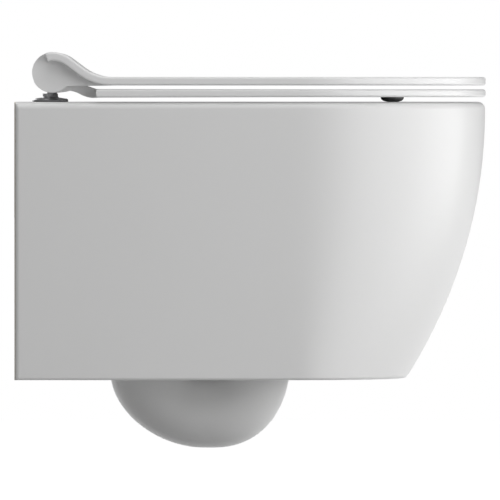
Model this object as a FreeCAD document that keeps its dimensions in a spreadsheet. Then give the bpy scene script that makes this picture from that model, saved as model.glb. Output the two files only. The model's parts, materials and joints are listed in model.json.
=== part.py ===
import FreeCAD, Part
import math
import os
import Sketcher
from FreeCAD import Placement, Rotation, Vector

# A wall hung toilet with a slim soft-close seat and lid.
#
# Frame: the wall is the plane y = 0 and the pan reaches out towards -Y.  The origin lies on the
# wall, midway between the two fixing studs.  +Z is up and X runs across the pan.  A distance
# "out" is measured from the wall, so it is minus y.  A "drop" is measured down from the rim.

os.makedirs("parts", exist_ok=True)
doc = FreeCAD.newDocument("wall_hung_toilet")

DRIVING_SIZES = {
    # pan, outside
    "pan_length": 499.5, "pan_width": 360.0, "nose_length": 199.5, "nose_fullness": 0.57,
    "rim_height": 85.0, "skirt_depth": 294.0, "front_radius": 528.0, "side_taper": 5.0,
    "rim_rounding": 6.8, "skirt_rounding": 3.0, "back_rounding": 5.5, "rough_casting": 6.0,
    # pan, walls
    "china_wall": 11.0, "deck_thickness": 14.0, "floor_thickness": 12.0, "access_reach": 72.0,
    "access_corner": 20.0,
    # bowl
    "bowl_width": 256.0, "bowl_back": 122.0, "bowl_front_rim": 37.5, "shelf_drop": 34.0,
    "shelf_width": 12.0, "lip_rounding": 6.0,
    # trapway
    "throat_radius": 32.5, "throat_drop": 281.0, "throat_out": 248.0,
    "sump_bend": 47.0, "sump_run": 11.0,
    "crown_bend": 55.0, "pipe_overlap": 4.0,
    "outlet_drop": 185.0, "spigot_radius": 51.0, "spigot_bore": 45.0, "spigot_length": 62.0,
    "spigot_cone": 20.0,
    # flush inlet
    "inlet_drop": 50.0, "inlet_socket_radius": 27.5, "inlet_socket_depth": 34.0,
    "inlet_boss_radius": 40.0, "duct_radius": 20.0, "flush_pipe_radius": 22.5,
    "chamber_start": 62.0, "chamber_width": 124.0, "chamber_top_drop": 22.0,
    "chamber_depth": 42.0,
    "flush_slot_width": 26.0, "flush_slot_height": 8.0, "flush_slot_spacing": 84.0,
    "flush_slot_reach": 22.0, "chamber_gap": 2.0, "seal_set_in": 1.0, "seal_lip": 6.0,
    "seal_waist": 1.6, "seal_taper": 2.0, "seal_clearance": 0.05,
    # wall fixings
    "stud_spacing": 180.0, "stud_hole_radius": 11.0, "bridge_thickness": 18.0,
    "bridge_drop": 122.0, "stud_radius": 6.0, "stud_clearance": 0.55,
    "sleeve_flange": 15.0, "sleeve_flange_thickness": 2.5,
    "washer_radius": 14.0, "washer_thickness": 2.5, "nut_across_flats": 19.0,
    "nut_height": 10.0, "sleeve_clearance": 0.1,
    # seat and lid
    "seat_overhang": 0.5, "lid_overhang": 1.0, "seat_gap": 3.6,
    "seat_thickness": 10.4, "lid_gap": 2.6, "lid_thickness": 9.7, "ring_back": 86.5,
    "ring_side": 71.5, "ring_front": 56.0, "opening_back": 152.0,
    "seat_rounding": 3.0, "lid_rounding": 2.5, "opening_rounding": 3.4,
    # seat arm, seen from the side
    "arm_root": 22.0, "arm_toe": 2.5, "arm_rise_start": 9.0, "arm_rise_middle": 16.5,
    "arm_rise_end": 24.0, "saddle_height": 8.4, "lobe_start": 16.5, "lobe_turn": 9.5,
    "lobe_reach": 13.4, "lobe_gap": 0.1, "arm_top_out": 34.6, "arm_top_height": 2.9,
    # lid roll, seen from the side, all from the hinge and down from the crest
    "slope_top_out": 19.6, "slope_top_drop": 6.5, "slope_foot_out": 32.8,
    "slope_foot_drop": 16.4, "plate_start": 62.8, "plate_overlap": 8.0,
    "cheek_top_out": 16.0, "cheek_top_drop": 4.0, "cheek_slope_out": 30.0,
    "cheek_slope_drop": 14.0, "cheek_foot_out": 50.0, "cheek_foot_height": 5.3,
    "cheek_tip_out": 66.0, "cheek_tip_height": 3.9, "cheek_heel_out": 8.0,
    "cheek_inset": 0.5,
    # hinge
    "hinge_out": 39.8, "hinge_height": 31.1, "roll_radius": 21.6, "roll_wall": 9.3,
    "hinge_spacing": 155.0, "knuckle_width": 19.0, "knuckle_radius": 10.8,
    "post_out": 36.2, "boss_radius": 7.4, "boss_height": 8.8, "neck_radius": 4.5,
    "flange_radius": 18.3, "flange_height": 2.5, "flange_edge": 1.2, "flange_crown": 1.3,
    "boss_foot": 1.0, "gasket_height": 0.8, "gasket_clearance": 0.4,
    "axle_radius": 4.0, "axle_end_gap": 4.5, "axle_chamfer": 0.8, "axle_set_in": 2.0,
    "running_clearance": 0.06, "fixed_clearance": 0.02, "thread_clearance": 0.05,
    "knuckle_chamfer": 1.0, "neck_overlap": 1.0, "stud_top_gap": 1.2,
    "deck_hole_radius": 7.5, "hinge_stud_radius": 3.0, "hinge_stud_drop": 38.0,
    "stud_chamfer": 0.6, "plug_grip": 12.0, "plug_clearance": 0.1, "plug_bulge": 2.4,
    "plug_edge": 1.0, "hinge_nut_flats": 13.0, "hinge_nut_height": 7.0,
    "lug_radius": 11.6, "lug_gap": 13.0, "lug_play": 1.5,
    "cheek_thickness": 11.5, "cheek_edge": 12.0, "cheek_bore_depth": 8.5, "slot_play": 1.6,
    "damper_radius": 8.0, "damper_set_in": 0.5, "damper_end_gap": 0.3,
    "bush_overlap": 8.0,
    # seat buffers
    "buffer_set_back": 102.0, "buffer_inset": 49.5, "buffer_radius": 11.0,
    "buffer_foot_radius": 6.8, "buffer_stem_radius": 3.0, "buffer_stem_height": 5.0,
    "stem_clearance": 0.05, "stem_end_gap": 0.2,
}

sheet = doc.addObject("Spreadsheet::Sheet", "Sizes")
for row, (alias, number) in enumerate(DRIVING_SIZES.items(), start=1):
    sheet.set(f"A{row}", alias)
    sheet.set(f"B{row}", str(number))
    sheet.setAlias(f"B{row}", alias)
doc.recompute()


class Size:
    """A number together with the sheet formula that it comes from."""

    def __init__(self, number, formula=None):
        self.number = float(number)
        self.formula = formula or f"({self.number:.9g})"

    @staticmethod
    def of(value):
        return value if isinstance(value, Size) else Size(value)

    def combined(self, other, sign, number):
        return Size(number, f"({self.formula} {sign} {other.formula})")

    def __add__(self, other):
        other = Size.of(other)
        return self.combined(other, "+", self.number + other.number)

    def __sub__(self, other):
        other = Size.of(other)
        return self.combined(other, "-", self.number - other.number)

    def __mul__(self, other):
        other = Size.of(other)
        return self.combined(other, "*", self.number * other.number)

    def __truediv__(self, other):
        other = Size.of(other)
        return self.combined(other, "/", self.number / other.number)

    def __radd__(self, other):
        return Size.of(other) + self

    def __rsub__(self, other):
        return Size.of(other) - self

    def __rmul__(self, other):
        return Size.of(other) * self

    def __neg__(self):
        return Size(-self.number, f"(-1 * {self.formula})")


def root(value):
    return Size(math.sqrt(value.number), f"sqrt({value.formula})")


class SheetSizes:
    """Reads a driving size by its name."""

    def __getattr__(self, alias):
        return Size(sheet.get(alias), f"Sizes.{alias}")


size = SheetSizes()

# Levels and places that several pieces share.
rim = size.rim_height
half_pan = size.pan_width / 2
bowl_wall = size.china_wall
seat_bottom = rim + size.seat_gap
seat_top = seat_bottom + size.seat_thickness
lid_bottom = seat_top + size.lid_gap
lid_top = lid_bottom + size.lid_thickness
axis_level = rim + size.hinge_height
hinge_side = size.hinge_spacing / 2
outlet_level = rim - size.outlet_drop
inlet_level = rim - size.inlet_drop
throat_level = rim - size.throat_drop
trap_outer = size.throat_radius + bowl_wall
bowl_front = size.pan_length - size.bowl_front_rim

# The seat overhangs the pan, and the lid overhangs the seat.
seat_half = half_pan + size.seat_overhang
seat_length = size.pan_length + size.seat_overhang
lid_half = seat_half + size.lid_overhang
opening_half = seat_half - size.ring_side
opening_front = seat_length - size.ring_front
buffer_side = seat_half - size.buffer_inset
buffer_out = seat_length - size.buffer_set_back

# Along the hinge, from the middle outwards: post, lug of the seat, cheek of the lid.
cheek_end = seat_half - size.cheek_edge
cheek_start = cheek_end - size.cheek_thickness
lug_end = cheek_start - size.lug_play
lug_start = hinge_side + size.knuckle_width / 2 + size.lug_gap
axle_end = cheek_end - size.axle_end_gap


# ---------------------------------------------------------------------------------------------
# Sketches and features
# ---------------------------------------------------------------------------------------------

def new_body(label):
    body = doc.addObject("PartDesign::Body", label)
    body.Label = label
    return body


def new_sketch(body, name, role, offset=None):
    """A sketch on one of the body's own origin planes, moved along the plane's normal."""
    sketch = body.newObject("Sketcher::SketchObject", name)
    support = [item for item in body.Origin.OriginFeatures if item.Role == role][0]
    sketch.AttachmentSupport = (support, "")
    sketch.MapMode = "FlatFace"
    if offset is not None:
        sketch.AttachmentOffset = Placement(Vector(0, 0, offset.number), Rotation())
        sketch.setExpression("AttachmentOffset.Base.z", offset.formula)
    return sketch


def bind(sketch, kind, *places, value):
    index = sketch.addConstraint(Sketcher.Constraint(kind, *places, value.number))
    sketch.setExpression(f"Constraints[{index}]", value.formula)


def hold_point(sketch, geometry, point, x, y):
    bind(sketch, "DistanceX", -1, 1, geometry, point, value=x)
    bind(sketch, "DistanceY", -1, 1, geometry, point, value=y)


def draw_circle(sketch, x, y, radius):
    index = sketch.addGeometry(
        Part.Circle(Vector(x.number, y.number, 0), Vector(0, 0, 1), radius.number))
    hold_point(sketch, index, 3, x, y)
    bind(sketch, "Radius", index, value=radius)


def draw_oval(sketch, x, y, half_x, half_y):
    """An ellipse whose longer half runs along the sketch's own y."""
    centre = Vector(x.number, y.number, 0)
    index = sketch.addGeometry(Part.Ellipse(
        centre + Vector(0, half_y.number, 0), centre + Vector(half_x.number, 0, 0), centre))
    sketch.exposeInternalGeometry(index)
    major, minor = index + 1, index + 2
    hold_point(sketch, index, 3, x, y)
    sketch.addConstraint(Sketcher.Constraint("Vertical", major))
    bind(sketch, "Distance", major, value=half_y * 2)
    bind(sketch, "Distance", minor, value=half_x * 2)


def curve_handles(start, end, corner, fullness):
    """The two middle poles of a curve that leaves and arrives pointing at the corner."""
    first = [here + (there - here) * fullness for here, there in zip(start, corner)]
    second = [here + (there - here) * fullness for here, there in zip(end, corner)]
    return first, second


def draw_outline(sketch, points):
    """A closed outline.  A point is (x, y), or (x, y, corner_x, corner_y, fullness) where
    the edge that leaves it is a curve bent towards that corner."""
    points = [[Size.of(number) for number in point] for point in points]
    edges, curves = [], []
    for start, end in zip(points, points[1:] + points[:1]):
        first = Vector(start[0].number, start[1].number, 0)
        last = Vector(end[0].number, end[1].number, 0)
        if len(start) == 2:
            edges.append(sketch.addGeometry(Part.LineSegment(first, last)))
            continue
        handles = curve_handles(start[:2], end[:2], start[2:4], start[4])
        poles = [Vector(x.number, y.number, 0) for x, y in handles]
        curve = Part.BSplineCurve()
        curve.buildFromPolesMultsKnots([first] + poles + [last], (4, 4), (0.0, 1.0), False, 3)
        edges.append(sketch.addGeometry(curve))
        curves.append((edges[-1], handles))
    for edge, following in zip(edges, edges[1:] + edges[:1]):
        sketch.addConstraint(Sketcher.Constraint("Coincident", edge, 2, following, 1))
    for edge, point in zip(edges, points):
        hold_point(sketch, edge, 1, point[0], point[1])
    for edge, handles in curves:
        first_pole = len(sketch.Geometry)
        sketch.exposeInternalGeometry(edge)
        for number, (x, y) in enumerate(handles, start=1):
            hold_point(sketch, first_pole + number, 3, x, y)


def draw_box(sketch, left, right, bottom, top):
    draw_outline(sketch, [(left, bottom), (right, bottom), (right, top), (left, top)])


def extrude(body, kind, name, sketch, length, backwards=False):
    """A pad or a pocket.  A pad grows along the sketch's normal and a pocket cuts against it."""
    feature = body.newObject(f"PartDesign::{kind}", name)
    feature.Profile = sketch
    feature.Length = length.number
    feature.setExpression("Length", length.formula)
    feature.Reversed = backwards
    sketch.Visibility = False
    doc.recompute()
    return feature


def loft(body, kind, name, sketches):
    feature = body.newObject(f"PartDesign::{kind}", name)
    feature.Profile = sketches[0]
    feature.Sections = sketches[1:]
    feature.Ruled = False
    doc.recompute()
    return feature


def turned(body, kind, name, sketch, axis):
    feature = body.newObject(f"PartDesign::{kind}", name)
    feature.Profile = sketch
    feature.ReferenceAxis = (sketch, [axis])
    feature.Angle = 360
    doc.recompute()
    return feature


def rounded(body, name, radius, wanted, kind="Fillet"):
    """A fillet or chamfer on every edge of the body's last feature that the test picks."""
    base = body.Tip
    names = [f"Edge{number}" for number, edge in enumerate(base.Shape.Edges, start=1)
             if wanted(edge)]
    measure = "Radius" if kind == "Fillet" else "Size"
    feature = body.newObject(f"PartDesign::{kind}", name)
    feature.Base = (base, names)
    setattr(feature, measure, radius.number)
    feature.setExpression(measure, radius.formula)
    doc.recompute()
    return feature


def place(body, x=None, y=None, z=None):
    """Moves a finished body, bound to the sheet."""
    steps = {"x": Size.of(x or 0), "y": Size.of(y or 0), "z": Size.of(z or 0)}
    body.Placement = Placement(Vector(*[step.number for step in steps.values()]), Rotation())
    for axis, step in steps.items():
        body.setExpression(f"Placement.Base.{axis}", step.formula)


def box_of(edge):
    bounds = edge.BoundBox
    return bounds.XMin, bounds.XMax, bounds.YMin, bounds.YMax, bounds.ZMin, bounds.ZMax


def lies_at(edge, axis, level):
    """True where the whole edge lies on one level of an axis."""
    bounds = box_of(edge)
    low, high = bounds[2 * axis], bounds[2 * axis + 1]
    return abs(low - level.number) < 0.01 and abs(high - level.number) < 0.01


# ---------------------------------------------------------------------------------------------
# Pan
# ---------------------------------------------------------------------------------------------

PAST = 1.0               # how far a cut runs past the face that it opens
ROUND = 0.552            # the fullness of a quarter circle
SOFT = 0.6               # the fullness of an easy sweep


def plan_outline(half, length, nose, back, fullness):
    """The D of the pan, the seat or the lid, seen from above."""
    straight = length - nose
    return [
        (-half, -back), (half, -back),
        (half, -straight, half, -length, fullness),
        (Size.of(0), -length, -half, -length, fullness),
        (-half, -straight),
    ]


def pan_section(body, name, drop, inset):
    """One level of the pan.  Its front follows a circle, and its sides lean in a little."""
    below = drop - size.rim_rounding
    set_back = size.front_radius - root(size.front_radius * size.front_radius - below * below)
    half = half_pan - size.side_taper * (drop / size.skirt_depth) - inset
    length = size.pan_length - set_back - inset
    nose = size.nose_length - set_back - inset
    sketch = new_sketch(body, name, "XY_Plane", rim - drop)
    draw_outline(sketch, plan_outline(
        half, length, nose, -size.rough_casting, size.nose_fullness))
    return sketch


def pan_loft(body, kind, name, top_drop, bottom_drop, inset, levels):
    step = (bottom_drop - top_drop) / (levels - 1)
    sketches = [pan_section(body, f"{name}Level{level}", top_drop + step * level, inset)
                for level in range(levels)]
    return loft(body, kind, name, sketches)


def basin_oval(body, name, share, drop, thickness):
    """One level of the basin, between the shelf (share 1) and the throat (share 0)."""
    throat = size.throat_radius
    shelf_half = size.bowl_width / 2 - size.shelf_width
    shelf_back = size.bowl_back + size.shelf_width
    shelf_front = bowl_front - size.shelf_width
    half = throat + (shelf_half - throat) * share + thickness
    back_reach = throat + (size.throat_out - shelf_back - throat) * share + thickness
    front_reach = throat + (shelf_front - size.throat_out - throat) * share + thickness
    centre = -size.throat_out - (front_reach - back_reach) / 2
    sketch = new_sketch(body, name, "XY_Plane", rim - drop)
    draw_oval(sketch, Size.of(0), centre, half, (front_reach + back_reach) / 2)
    return sketch


def basin_loft(body, kind, name, thickness):
    """The basin narrows slowly below the shelf and faster towards the throat."""
    levels, steepness = 5, 1.3
    fall = size.throat_drop - size.shelf_drop
    sketches = []
    for level in range(levels + 1):
        way = level / levels
        sketches.append(basin_oval(
            body, f"{name}Level{level}", 1 - way ** steepness,
            size.shelf_drop + fall * way, Size.of(thickness)))
    return loft(body, kind, name, sketches)


def rim_oval(body, name, drop, thickness):
    """The straight-sided upper part of the bowl."""
    half = size.bowl_width / 2 + thickness
    reach = (bowl_front - size.bowl_back) / 2 + thickness
    sketch = new_sketch(body, name, "XY_Plane", rim - drop)
    draw_oval(sketch, Size.of(0), -(bowl_front + size.bowl_back) / 2, half, reach)
    return sketch


def trap_path(body, name):
    """Down from the throat, round the sump, up, and over the crown to the outlet."""
    sump_bottom = throat_level - size.sump_bend
    sump_out = size.throat_out - size.sump_bend
    rise_out = sump_out - size.sump_run - size.sump_bend
    crown_start = outlet_level - size.crown_bend
    crown_out = rise_out - size.crown_bend
    sketch = new_sketch(body, name, "YZ_Plane")
    points = [
        (-size.throat_out, throat_level),
        (-sump_out, sump_bottom),
        (-sump_out + size.sump_run, sump_bottom),
        (-rise_out, throat_level),
        (-rise_out, crown_start),
        (-crown_out, outlet_level),
        (-(size.spigot_length + size.spigot_cone) + size.pipe_overlap, outlet_level),
    ]
    bends = {0: size.sump_bend, 2: size.sump_bend, 4: size.crown_bend}
    centres = {
        0: (-sump_out, throat_level),
        2: (-sump_out + size.sump_run, throat_level),
        4: (-crown_out, crown_start),
    }
    edges = []
    for number, (start, end) in enumerate(zip(points, points[1:])):
        first = Vector(start[0].number, start[1].number, 0)
        last = Vector(end[0].number, end[1].number, 0)
        if number not in bends:
            edges.append(sketch.addGeometry(Part.LineSegment(first, last)))
            continue
        centre = Vector(centres[number][0].number, centres[number][1].number, 0)
        outward = ((first + last) / 2 - centre).normalize()
        middle = centre + outward * bends[number].number
        edges.append(sketch.addGeometry(Part.Arc(first, middle, last)))
    for number, edge in enumerate(edges):
        hold_point(sketch, edge, edge_start(sketch, edge, points[number]), *points[number])
        if number in bends:
            bind(sketch, "Radius", edge, value=bends[number])
    for number, (edge, following) in enumerate(zip(edges, edges[1:]), start=1):
        sketch.addConstraint(Sketcher.Constraint(
            "Coincident", edge, 3 - edge_start(sketch, edge, points[number - 1]),
            following, edge_start(sketch, following, points[number])))
    last_end = 3 - edge_start(sketch, edges[-1], points[-2])
    hold_point(sketch, edges[-1], last_end, *points[-1])
    return sketch


def edge_start(sketch, edge, point):
    """Which end of the edge, 1 or 2, lies at the point."""
    place_of = Vector(point[0].number, point[1].number, 0)
    return 1 if (sketch.getPoint(edge, 1) - place_of).Length < 0.001 else 2


def trap_pipe(body, kind, name, radius):
    path = trap_path(body, f"{name}Path")
    ring = new_sketch(body, f"{name}Ring", "XY_Plane", throat_level)
    draw_circle(ring, Size.of(0), -size.throat_out, radius)
    feature = body.newObject(f"PartDesign::{kind}", name)
    feature.Profile = ring
    feature.Spine = (path, [f"Edge{number}" for number in range(1, 7)])
    feature.Transition = "Transformed"
    doc.recompute()
    return feature


def bowl_outside(body, kind):
    """The outer form of the bowl: its upper band, and the basin down to the throat."""
    loft(body, f"{kind}Loft", "BowlBand", [
        rim_oval(body, "BowlBandTop", size.deck_thickness / 2, bowl_wall),
        rim_oval(body, "BowlBandFoot", size.shelf_drop + bowl_wall, bowl_wall)])
    basin_loft(body, f"{kind}Loft", "Basin", bowl_wall)


def bowl_opening(body):
    loft(body, "SubtractiveLoft", "BowlOpening", [
        rim_oval(body, "OpeningTop", Size.of(-PAST), Size.of(0)),
        rim_oval(body, "OpeningFoot", size.shelf_drop, Size.of(0))])


def bridge_block(body, kind):
    """The wall across the back that carries the studs, let into the shell's sides and deck."""
    plan = new_sketch(body, "BridgePlan", "XZ_Plane")
    inner_half = half_pan - size.china_wall / 2
    draw_box(plan, -inner_half, inner_half, rim - size.bridge_drop,
             rim - size.deck_thickness / 2)
    extrude(body, kind, "Bridge", plan, size.bridge_thickness, backwards=kind == "Pocket")


def inlet_boss(body, kind):
    ring = new_sketch(body, "InletBossRing", "XZ_Plane")
    draw_circle(ring, Size.of(0), inlet_level, size.inlet_boss_radius)
    extrude(body, kind, "InletBoss", ring, size.chamber_start, backwards=kind == "Pocket")


def chamber_block(body, kind):
    """The outside of the flush chamber, from the inlet's boss to the bowl."""
    half = size.chamber_width / 2 + bowl_wall
    floor = rim - size.chamber_top_drop - size.chamber_depth - bowl_wall
    plan = new_sketch(body, "ChamberPlan", "XZ_Plane", size.chamber_start - bowl_wall / 2)
    draw_box(plan, -half, half, floor, rim - size.deck_thickness / 2)
    to_bowl = size.bowl_back - size.chamber_start
    extrude(body, kind, "Chamber", plan, to_bowl + bowl_wall * 2, backwards=kind == "Pocket")


def flush_slots(body):
    """The two slots through which the flush water runs on to the shelf."""
    floor = rim - size.shelf_drop + PAST
    for side, name in ((-1, "Left"), (1, "Right")):
        middle = size.flush_slot_spacing / 2 * side
        slot = new_sketch(body, f"FlushSlot{name}Plan", "XZ_Plane",
                          size.bowl_back - bowl_wall * 2)
        draw_box(slot, middle - size.flush_slot_width / 2, middle + size.flush_slot_width / 2,
                 floor, floor + size.flush_slot_height)
        extrude(body, "Pocket", f"FlushSlot{name}", slot,
                bowl_wall * 2 + size.flush_slot_reach, backwards=True)


def part_of(label, whole, slices):
    """One casting of the pan, cut from the whole by flat joints.

    A slice is (role, level, up): it takes away what lies beyond the level of an origin plane,
    above it where up is true.  The clay castings are stuck together along these joints."""
    body = new_body(label)
    body.BaseFeature = whole
    doc.recompute()
    reach = size.pan_length * 2
    for number, (role, level, up) in enumerate(slices, start=1):
        plan = new_sketch(body, f"{label}_joint_{number}", role, level)
        draw_box(plan, -reach, reach, -reach, reach)
        extrude(body, "Pocket", f"{label}_cut_{number}", plan, reach, backwards=up)
    return body


def make_pan_shell():
    """The outer form: skirt, deck and floor, hollow behind.  Five castings are cut from it."""
    body = new_body("pan_shell")
    zero = Size.of(0)
    pan_loft(body, "AdditiveLoft", "Outside", zero, size.skirt_depth, zero, 6)
    rough = new_sketch(body, "WallPlane", "XZ_Plane")
    draw_box(rough, -size.pan_width, size.pan_width, -size.skirt_depth * 2, size.skirt_depth)
    extrude(body, "Pocket", "WallFace", rough, size.rough_casting * 2)

    def outer_corner(edge):
        low_x, high_x, low_y, high_y, low_z, high_z = box_of(edge)
        return abs(high_y) < 0.01 and high_z - low_z > size.skirt_depth.number * 0.9

    rounded(body, "BackRounding", size.back_rounding, outer_corner)
    bottom = rim - size.skirt_depth
    rounded(body, "SkirtRounding", size.skirt_rounding,
            lambda edge: lies_at(edge, 2, bottom) and box_of(edge)[2] < -PAST)
    rounded(body, "RimRounding", size.rim_rounding,
            lambda edge: lies_at(edge, 2, rim) and box_of(edge)[2] < -PAST)
    pan_loft(body, "SubtractiveLoft", "Hollow", size.deck_thickness,
             size.skirt_depth - size.floor_thickness, size.china_wall, 5)

    # Room for the other castings, which are stuck into this one before it is fired.
    bridge_block(body, "Pocket")
    inlet_boss(body, "Pocket")
    chamber_block(body, "Pocket")
    bowl_outside(body, "Subtractive")
    bowl_opening(body)
    trap_pipe(body, "SubtractivePipe", "TrapHole", trap_outer)

    hinges = new_sketch(body, "HingeHoles", "XY_Plane", rim)
    for side in (-1, 1):
        draw_circle(hinges, hinge_side * side, -size.post_out, size.deck_hole_radius)
    extrude(body, "Pocket", "HingeBores", hinges, size.deck_thickness + PAST)
    access = new_sketch(body, "AccessPlan", "XY_Plane", bottom)
    access_half = half_pan - size.side_taper - size.china_wall
    corner, front = size.access_corner, -size.access_reach
    draw_outline(access, [
        (-access_half, PAST), (access_half, PAST),
        (access_half, front + corner, access_half, front, ROUND),
        (access_half - corner, front),
        (-access_half + corner, front, -access_half, front, ROUND),
        (-access_half, front + corner)])
    extrude(body, "Pocket", "Access", access, size.floor_thickness + PAST, backwards=True)
    rounded(body, "LipRounding", size.lip_rounding,
            lambda edge: lies_at(edge, 2, rim) and box_of(edge)[1] - box_of(edge)[0] > 100
            and box_of(edge)[3] < -size.bowl_back.number + PAST)

    deck_foot = rim - size.deck_thickness
    floor_top = bottom + size.floor_thickness
    nose_start = size.pan_length - size.nose_length
    walls = [("XY_Plane", deck_foot, True), ("XY_Plane", floor_top, False)]
    middle = Size.of(0)
    return [
        part_of("pan_deck", body, [("XY_Plane", deck_foot, False)]),
        part_of("pan_floor", body, [("XY_Plane", floor_top, True)]),
        part_of("pan_nose", body, walls + [("XZ_Plane", nose_start, False)]),
        part_of("pan_side_left", body, walls + [
            ("XZ_Plane", nose_start, True), ("YZ_Plane", middle, True)]),
        part_of("pan_side_right", body, walls + [
            ("XZ_Plane", nose_start, True), ("YZ_Plane", middle, False)]),
    ]


def make_pan_bowl():
    """The bowl with its flushing shelf, down to the throat: a collar above a basin."""
    body = new_body("pan_bowl")
    bowl_outside(body, "Additive")
    bowl_opening(body)
    basin_loft(body, "SubtractiveLoft", "BasinHollow", Size.of(0))
    trap_pipe(body, "SubtractivePipe", "SharedWall", size.throat_radius)
    flush_slots(body)
    shelf = rim - size.shelf_drop
    return [part_of("pan_collar", body, [("XY_Plane", shelf, False)]),
            part_of("pan_basin", body, [("XY_Plane", shelf, True)])]


def make_pan_trap():
    """The trapway under and behind the bowl: a sump, and a crown with the waste spigot."""
    body = new_body("pan_trap")
    zero = Size.of(0)
    trap_pipe(body, "AdditivePipe", "Trap", trap_outer)
    spigot = new_sketch(body, "SpigotProfile", "YZ_Plane")
    cone_end = size.spigot_length + size.spigot_cone
    draw_outline(spigot, [
        (zero, outlet_level), (zero, outlet_level + size.spigot_radius),
        (-size.spigot_length, outlet_level + size.spigot_radius),
        (-cone_end, outlet_level + trap_outer), (-cone_end, outlet_level)])
    turn_about_outlet(body, "Revolution", "Spigot", spigot)
    basin_loft(body, "SubtractiveLoft", "BasinRoom", bowl_wall)
    trap_pipe(body, "SubtractivePipe", "TrapBore", size.throat_radius)
    bore = new_sketch(body, "SpigotBoreProfile", "YZ_Plane")
    draw_outline(bore, [
        (Size.of(PAST), outlet_level), (Size.of(PAST), outlet_level + size.spigot_bore),
        (-size.spigot_length, outlet_level + size.spigot_bore),
        (-cone_end, outlet_level + size.throat_radius), (-cone_end, outlet_level)])
    turn_about_outlet(body, "Groove", "SpigotBore", bore)
    return [part_of("pan_sump", body, [("XY_Plane", throat_level, True)]),
            part_of("pan_crown", body, [("XY_Plane", throat_level, False)])]


def make_pan_back():
    """The back casting: the bridge for the studs, the flush inlet and the flush chamber."""
    body = new_body("pan_back")
    zero = Size.of(0)
    bridge_block(body, "Pad")
    inlet_boss(body, "Pad")
    chamber_block(body, "Pad")
    bowl_outside(body, "Subtractive")

    socket = new_sketch(body, "InletSocketRing", "XZ_Plane")
    draw_circle(socket, zero, inlet_level, size.inlet_socket_radius)
    extrude(body, "Pocket", "InletSocket", socket, size.inlet_socket_depth, backwards=True)
    duct = new_sketch(body, "DuctRing", "XZ_Plane")
    draw_circle(duct, zero, inlet_level, size.duct_radius)
    extrude(body, "Pocket", "Duct", duct, size.chamber_start + PAST, backwards=True)
    half = size.chamber_width / 2
    ceiling = rim - size.chamber_top_drop
    inside = new_sketch(body, "ChamberHollowPlan", "XZ_Plane", size.chamber_start)
    draw_box(inside, -half, half, ceiling - size.chamber_depth, ceiling)
    extrude(body, "Pocket", "ChamberHollow", inside,
            size.bowl_back - size.chamber_start - bowl_wall - size.chamber_gap, backwards=True)
    flush_slots(body)
    studs = new_sketch(body, "StudHoles", "XZ_Plane")
    for side in (-1, 1):
        draw_circle(studs, size.stud_spacing / 2 * side, zero, size.stud_hole_radius)
    extrude(body, "Pocket", "StudBores", studs, size.bridge_thickness + PAST, backwards=True)
    return body


def turn_about_outlet(body, kind, name, sketch):
    """A turned feature whose axis is the outlet's, drawn as a line of the sketch."""
    start, end = Size.of(0), -size.spigot_length
    index = sketch.addGeometry(Part.LineSegment(
        Vector(start.number, outlet_level.number, 0),
        Vector(end.number, outlet_level.number, 0)), True)
    hold_point(sketch, index, 1, start, outlet_level)
    hold_point(sketch, index, 2, end, outlet_level)
    return turned(body, kind, name, sketch, "Axis0")


# ---------------------------------------------------------------------------------------------
# Seat
# ---------------------------------------------------------------------------------------------

def at_hinge(radius, degrees):
    """A point round the hinge axis, in a side view.  0 degrees points out and 90 points up."""
    turn = math.radians(degrees)
    return (-size.hinge_out - radius * math.cos(turn), axis_level + radius * math.sin(turn))


def hinge_arc(radius, start, end):
    """Outline points of an arc round the hinge axis, without its last point."""
    pieces = max(1, math.ceil(abs(end - start) / 80))
    step = (end - start) / pieces
    half_turn = math.radians(abs(step) / 2)
    fullness = 4 / 3 * math.tan(half_turn / 2) / math.tan(half_turn)
    points = []
    for piece in range(pieces):
        here = start + step * piece
        corner = at_hinge(radius / math.cos(half_turn), here + step / 2)
        points.append((*at_hinge(radius, here), *corner, Size.of(fullness)))
    return points


def egg_outline(half, back, front, widest):
    zero = Size.of(0)
    return [
        (half, -widest, half, -front, ROUND),
        (zero, -front, -half, -front, ROUND),
        (-half, -widest, -half, -back, SOFT),
        (zero, -back, half, -back, SOFT),
    ]


def arm_outline():
    """The seat's hinge arm from the side: a lug round the axle that sweeps down to the ring."""
    lug = size.lug_radius
    lobe = size.roll_radius - size.lobe_gap
    foot = axis_level - lobe
    ring_end = size.ring_back + size.arm_root
    saddle = seat_bottom + size.saddle_height
    lobe_corner, lug_corner = 206, 50
    return [
        (-ring_end, seat_bottom),
        (-size.ring_back + size.arm_toe, seat_bottom,
         -size.ring_back + size.arm_rise_start, seat_bottom, SOFT),
        (-size.ring_back + size.arm_rise_middle, (seat_bottom + saddle) / 2,
         -size.ring_back + size.arm_rise_end, saddle, SOFT),
        (-size.hinge_out - size.lobe_start, saddle,
         -size.hinge_out - size.lobe_turn, foot, SOFT),
        (-size.hinge_out, foot, -size.hinge_out + size.lobe_reach, foot, SOFT),
        at_hinge(lobe, lobe_corner),
        *hinge_arc(lug, lobe_corner, lug_corner),
        at_hinge(lug, lug_corner),
        (-size.hinge_out - size.arm_top_out, seat_top + size.arm_top_height),
        (-size.ring_back + size.arm_toe, seat_top),
        (-ring_end, seat_top),
    ]


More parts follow.
